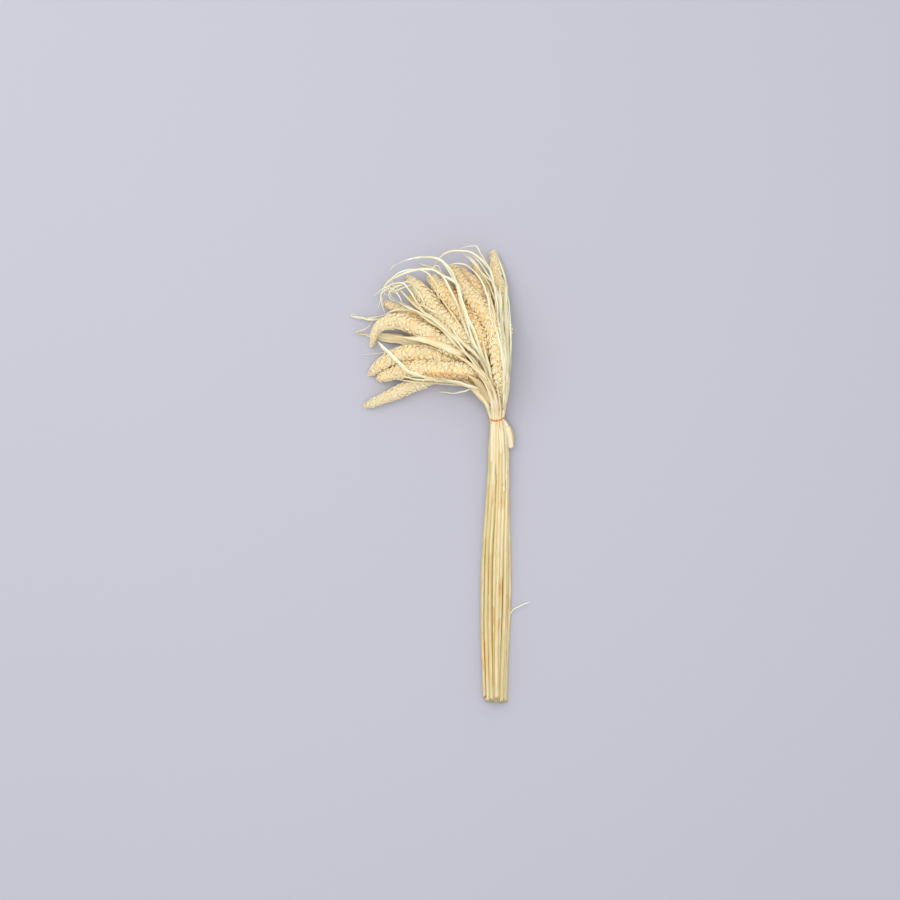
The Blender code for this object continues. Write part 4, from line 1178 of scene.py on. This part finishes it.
# %% Loose blades
LOOSE_BLADES = (
    (1.9, ((503, 402), (503.2, 385), (502.4, 368), (500.5, 350), (497.6, 337), (493.8, 324), (490.2, 312),
     (488.4, 300), (487.6, 288)), dict(tan=0.1)),
    (1.9, ((504.5, 404), (504.8, 385), (503.6, 362), (501, 345), (498.8, 328), (497.4, 313), (496.6, 300),
     (494.6, 287), (490.4, 274)), dict(tan=0.05)),
    (2.3, ((505.5, 404), (505.9, 385), (504.8, 360), (502.8, 340), (501.3, 322), (500.4, 306), (500, 292),
     (499.8, 279)), dict(fold=0.2, twist=0.2, slim=1.0, least=1.5)),
    (2.3, ((507, 384), (507.2, 352), (506.2, 325), (505.4, 306), (505.4, 290), (504.8, 281)),
     dict(fold=0.2, twist=0.2, slim=1.0, least=1.6, tan=0.1)),
    (1.3, ((502.4, 409), (504, 396), (506, 377), (506.6, 365), (505.2, 353), (502.9, 338), (502.4, 323),
     (502.9, 310)), dict(tan=0.2)),
    (1.4, ((504.6, 414), (506.6, 404), (508.4, 391), (509.6, 376), (510.2, 361), (510.6, 346), (509.9, 331),
     (508.6, 318), (507.4, 304), (506.8, 290)), dict()),
    (0.8, ((504.8, 411), (508, 396), (509.8, 376), (510.8, 350), (510, 320), (507.5, 290), (504.8, 270),
     (500.5, 257)), dict(twist=0.9)),
    (0.8, ((493, 330), (490, 316), (487, 300), (484, 287), (477.3, 274.8), (470.5, 268.5)),
     dict(twist=0.9)),
    (0.8, ((494.5, 300), (491, 290), (486, 280), (479, 270), (473.4, 260.5), (467, 254.5)),
     dict(twist=0.9)),
    (0.8, ((496.5, 296), (492.4, 285), (487.4, 274), (481.5, 265), (474, 257), (468, 253)),
     dict(twist=0.9)),
    (1.5, ((478, 370), (466, 354), (452, 337), (438, 324.5), (420, 313.5), (405, 306), (398, 302)),
     dict(tan=0.5, least=0.9)),
    (0.9, ((470, 352), (458, 338), (446, 322), (432, 311), (418, 304), (409.9, 300.9), (403.6, 294),
     (400, 290.6)), dict(twist=0.8, tan=0.35)),
    (2.4, ((462, 292), (455, 283), (449, 279.6), (444.4, 277.9), (439.8, 274.8)),
     dict(fold=0.2, twist=0.2, taper=0.05)),
    (0.9, ((450, 282), (445.5, 274.5), (440.5, 269.4), (434, 266.4), (427, 264), (418, 261)),
     dict(least=0.9)),
    (2, ((491, 379), (485, 363), (479, 348), (474.5, 333.8), (469.2, 323.2), (464.8, 310.8), (460.8, 297.5),
     (456, 284), (448.8, 268.3), (440, 260), (429, 257.4), (417, 258.6)),
     dict(twist=0.5, least=0.9, slim=0.85, tan=0.1)),
    (0.8, ((470, 388), (456, 383), (440, 381), (424, 380), (408, 378), (398, 374)), dict(tan=0.1)),
    (0.8, ((480, 392), (466, 386), (450, 384.5), (430, 383.5), (412, 381), (394, 379)), dict(tan=0.1)),
    (0.7, ((440, 292), (434, 281), (427, 273.4), (418, 269.6), (406, 270.4), (395, 275.6), (387, 282.6)),
     dict(least=0.7, twist=0.7)),
    (0.5, ((450, 356), (440, 351), (428, 346.5), (414, 345.4), (400, 346.6), (390, 350)),
     dict(tan=0.4, least=0.4)),
    (1.9, ((497.5, 411), (495.8, 398), (492.6, 385), (489.4, 372), (486.4, 358), (483.4, 345),
     (480.6, 333)), dict(tan=0.6, slim=1.0, twist=0.2)),
    (1.3, ((470, 344), (464, 334), (457, 322), (449, 310), (441, 299), (434, 290)),
     dict(tan=1.0, slim=1.0, twist=0.2)),
    (4.2, ((490, 404), (485.5, 394), (479.5, 385), (472, 378), (463, 375)),
     dict(tan=1.0, slim=1.0, twist=0.1)),
    (1.2, ((501, 413), (499.8, 405), (498.7, 397), (497.6, 388), (496.8, 380)), dict(tan=0.6, slim=1.0)),
    (0.6, ((502.8, 412), (505.2, 399), (507, 385), (508.2, 369), (508.4, 352), (507.6, 336)),
     dict(tan=1.0)),
    (0.6, ((503.6, 400), (504.2, 384), (503.6, 366), (501.8, 349), (500, 333), (498.6, 318)),
     dict(tan=1.0)),
    (1.7, ((496, 334), (494.4, 322), (492.6, 311), (490.4, 300), (487.4, 289)),
     dict(tan=1.0, slim=1.0, twist=0.2)),
    (1.9, ((488, 381), (478, 371.4), (467, 362.6), (456, 356), (446, 351.4)),
     dict(tan=0.9, slim=1.0, twist=0.2)),
    (4.4, ((466, 357), (456, 352.6), (447, 348.6), (437, 344.6), (427, 341.4), (416, 339), (404, 337.6),
     (394, 336)), dict(tan=0.75, slim=1.0, twist=0.2, fold=0.1, taper=0.05)),
    # A thin strip on the flap whose dark tan is painted shade, for the shadow in the gap between the flap and
    # the stems.
    (0.6, ((505.6, 421), (507.8, 428), (509.2, 436), (509.6, 445)), dict(tan=1.0, least=0.5)),
)

loose_rng = np.random.default_rng(17)
for k, (widest, pixels, looks) in enumerate(LOOSE_BLADES, 1):
    blade = blade_piece(f"loose_blade_{k:02d}", laid_line(pixels, widest), loose_rng, **looks)
    dress(blade, None, blade_material)
print("loose blades:", len(LOOSE_BLADES))

# %% [markdown]
# The sheaths at the tie are the broad feet of leaves. Each clasps its stem below the tie, runs up under the
# band and opens into the fan. They bend over the bundle, so their edges turn down, which a fold with its
# sign reversed does.

# %% Sheaths through the tie
SHEATH_GAP = 0.45 * MM
SHEATH_WRAPS = (
    (4.2, ((492.8, 500), (493.2, 478), (493.6, 455), (494, 436), (494.2, 420), (493.4, 408), (490.4, 396),
     (485, 384), (477.5, 374)), dict(tan=0.55)),
    (3.6, ((492.3, 462), (492.6, 440), (492.2, 419), (488.8, 408.5), (484, 399), (477.2, 391.4),
     (468.5, 387)), dict(tan=0.6)),
    (3.6, ((503.4, 492), (503.2, 470), (502.4, 445), (501, 425), (500.2, 414), (500.9, 404), (501, 396)),
     dict(tan=0.6)),
    (3.2, ((498.4, 476), (498, 450), (497.6, 430), (497.2, 416), (496.4, 404), (493.8, 392), (489.4, 381),
     (483, 371)), dict(tan=0.75)),
    (2.8, ((506, 480), (506, 455), (504.8, 435), (502.8, 419), (503.6, 409), (505.2, 398), (506.2, 384),
     (506.6, 370)), dict(tan=0.5)),
    (2.4, ((495.6, 440), (495.8, 420), (495.4, 408), (493.2, 398), (489, 388.5)), dict(tan=0.85)),
)

for k, (widest, pixels, looks) in enumerate(SHEATH_WRAPS, 1):
    line = laid_line(pixels, widest, narrow_from=0.6, foot_share=0.8, gap=SHEATH_GAP, under_tie=True)
    wrap = blade_piece(f"sheath_wrap_{k}", line, loose_rng, fold=-0.5, twist=0.05, waver=0.2, slim=1.0,
                       least=1.2, **looks)
    dress(wrap, None, blade_material)

flap_pixels = ((504.6, 420), (507.0, 426.5), (509.2, 433), (510.2, 440), (510.6, 448.5))
flap_line = laid_line(flap_pixels, 4.2, narrow_from=1.0, foot_share=0.25, gap=SHEATH_GAP)
flap = blade_piece("side_flap", flap_line, loose_rng, fold=-0.1, twist=0.1, tan=0.5, slim=1.0, taper=0.03)
dress(flap, None, blade_material)
print("sheath wraps:", len(SHEATH_WRAPS))

# %% [markdown]
# The last wisps hang in the air, at the left edge of the fan and beside the stems. They curl and cross, and
# each starts within two millimetres of another piece. A rod of a few sides is enough for them, because they
# are hardly half a millimetre thick.

# %% Wisps
WISP_SIDES = 5
WISP_STEP = 2.5 * MM


def height_near(x, y):
    """The height of the nearest blade's line over the floor, in millimetres."""
    points = np.vstack([line.points for node, line in lines.items() if "leaf" in node])
    nearest = np.hypot(points[:, 0] - x, points[:, 1] - y).argmin()
    return points[nearest, 2] / MM


# Half width in mm, the heights of foot and tip in mm above or below the nearest blade, and the pixels
WISPS = (
    (2, 0, 2, ((413, 284), (407, 281.6), (402, 283.4), (397.7, 284.9), (392.5, 287.4), (386, 290),
     (380.3, 292), (372.7, 294.6))),
    (1.1, 0, 0, ((412, 285), (406.3, 286.4), (400.7, 288.5), (396, 290.6), (391, 289.5), (389.6, 285),
     (393.6, 277.8))),
    (0.9, 0, -3, ((384.5, 288.5), (381, 293), (380.2, 299), (378.6, 304.5), (376.5, 309))),
    (0.9, 0, -6, ((381.4, 296), (381.7, 303.8), (383, 308), (384.6, 312.5))),
    (0.8, 0, -2, ((388, 286), (389.8, 292), (390.6, 295.6), (393.4, 298), (397.6, 300.6))),
    (0.7, 0, 0, ((392, 283.5), (396, 286.5), (398.4, 291), (395.5, 293.2), (392.8, 291), (394.6, 287.6))),
    (1, 0, 0, ((438, 259), (434, 265.5), (430.6, 270.2), (426, 273.5))),
    (0.7, 0, 0, ((426, 271), (431.3, 269.8), (436.4, 266), (440, 268.5), (439.5, 273.7), (435, 276))),
    (0.6, 0, 0, ((396.7, 263), (392.6, 266), (388, 272))),
    (0.8, 0, 0, ((436, 346), (424, 347.5), (408, 349), (395, 350.5), (379.3, 352.3), (368, 353.4),
     (357.3, 354.2))),
    (1, 0, 3, ((369, 334.8), (359.4, 333.1), (354.8, 331.6), (359.9, 329.6), (364.5, 328.2), (368, 325.6),
     (370.8, 321.6), (377, 317.5))),
    (1.9, 0, 2, ((380, 318.4), (375, 318.8), (368, 318.9), (359.9, 316.6), (355.3, 316), (350.2, 314.4),
     (352.5, 313.2), (357, 314.8))),
    (1, 0, 0, ((424, 303), (421.5, 297.6), (418.6, 292.5), (415.8, 289.5), (413.5, 284.5))),
    (1, 0, 1, ((402, 302.6), (399.4, 296.6), (395.6, 291.4), (391.2, 287.8), (386.4, 288.6), (383.6, 291.4),
     (385.2, 294.6), (389.4, 294.2))),
    (0.9, 0, 1, ((398, 288), (393.4, 291.4), (389.2, 291), (387.6, 287.2), (390.4, 284.4), (394.2, 285.6),
     (394.6, 289.4), (391.4, 293.4), (388.2, 297.2))),
    (0.9, 1, 0, ((403, 285), (396.4, 286.6), (391.4, 290.2), (388.6, 294.2), (390, 298.4), (394.4, 301),
     (400.6, 303.4))),
    (0.9, 0, 0, ((386.6, 281), (389.6, 279), (392.6, 281.4), (391, 284.8), (387.4, 286.6))),
    (0.8, 0, 0, ((372.4, 317.6), (376, 321.4), (373.4, 326), (369.6, 329.4))),
)


def wisp_piece(name, line, radius, rng):
    bm = straight_rod(WISP_SIDES, max(6, round(line.length / WISP_STEP)))
    piece = piece_from_bmesh(bm, name)
    mesh = piece.data
    straight = vertex_places(mesh)
    share = straight[:, 2]
    place, _, side, up, _ = line.at(share)
    size = radius * MM * (1 - 0.8 * ease((share - 0.4) / 0.6)) * (1 + 0.25 * waves(share, rng, finest=9))
    size *= 0.35 + 0.65 * ease(share / 0.15)
    around = side * (straight[:, 0] * size)[:, None] + up * (0.25 * MM * straight[:, 1])[:, None]
    set_places(mesh, above_floor(place + around))
    before_bend = np.column_stack([straight[:, :2] * radius * MM, share * line.length])
    keep_values(mesh, straight=before_bend, shift=rng.uniform(0, 9), midrib=0.0, tan=rng.uniform(0, 0.12))
    mesh.shade_smooth()
    return piece


def hang_wisp(name, radius, pixels, heights, rng):
    middle_heights = np.linspace(heights[0], heights[1], len(pixels))
    points = [(*picture_place(x, y), max(height, 1.0) * MM) for (x, y), height in zip(pixels, middle_heights)]
    piece = wisp_piece(name, Line(points, np.full(len(points), radius * MM)), radius, rng)
    dress(piece, None, blade_material)


for k, (radius, foot_lift, tip_lift, pixels) in enumerate(WISPS, 1):
    ends = [height_near(*picture_place(*pixel)) for pixel in (pixels[0], pixels[-1])]
    hang_wisp(f"wisp_{k:02d}", radius, pixels, (ends[0] + foot_lift, ends[1] + tip_lift), loose_rng)

side_curl = ((486.5, 556), (484.8, 549), (483.4, 543), (482.4, 537))
hang_wisp("side_curl", 0.8, side_curl, (6, 5), loose_rng)
print("wisps:", len(WISPS) + 1)
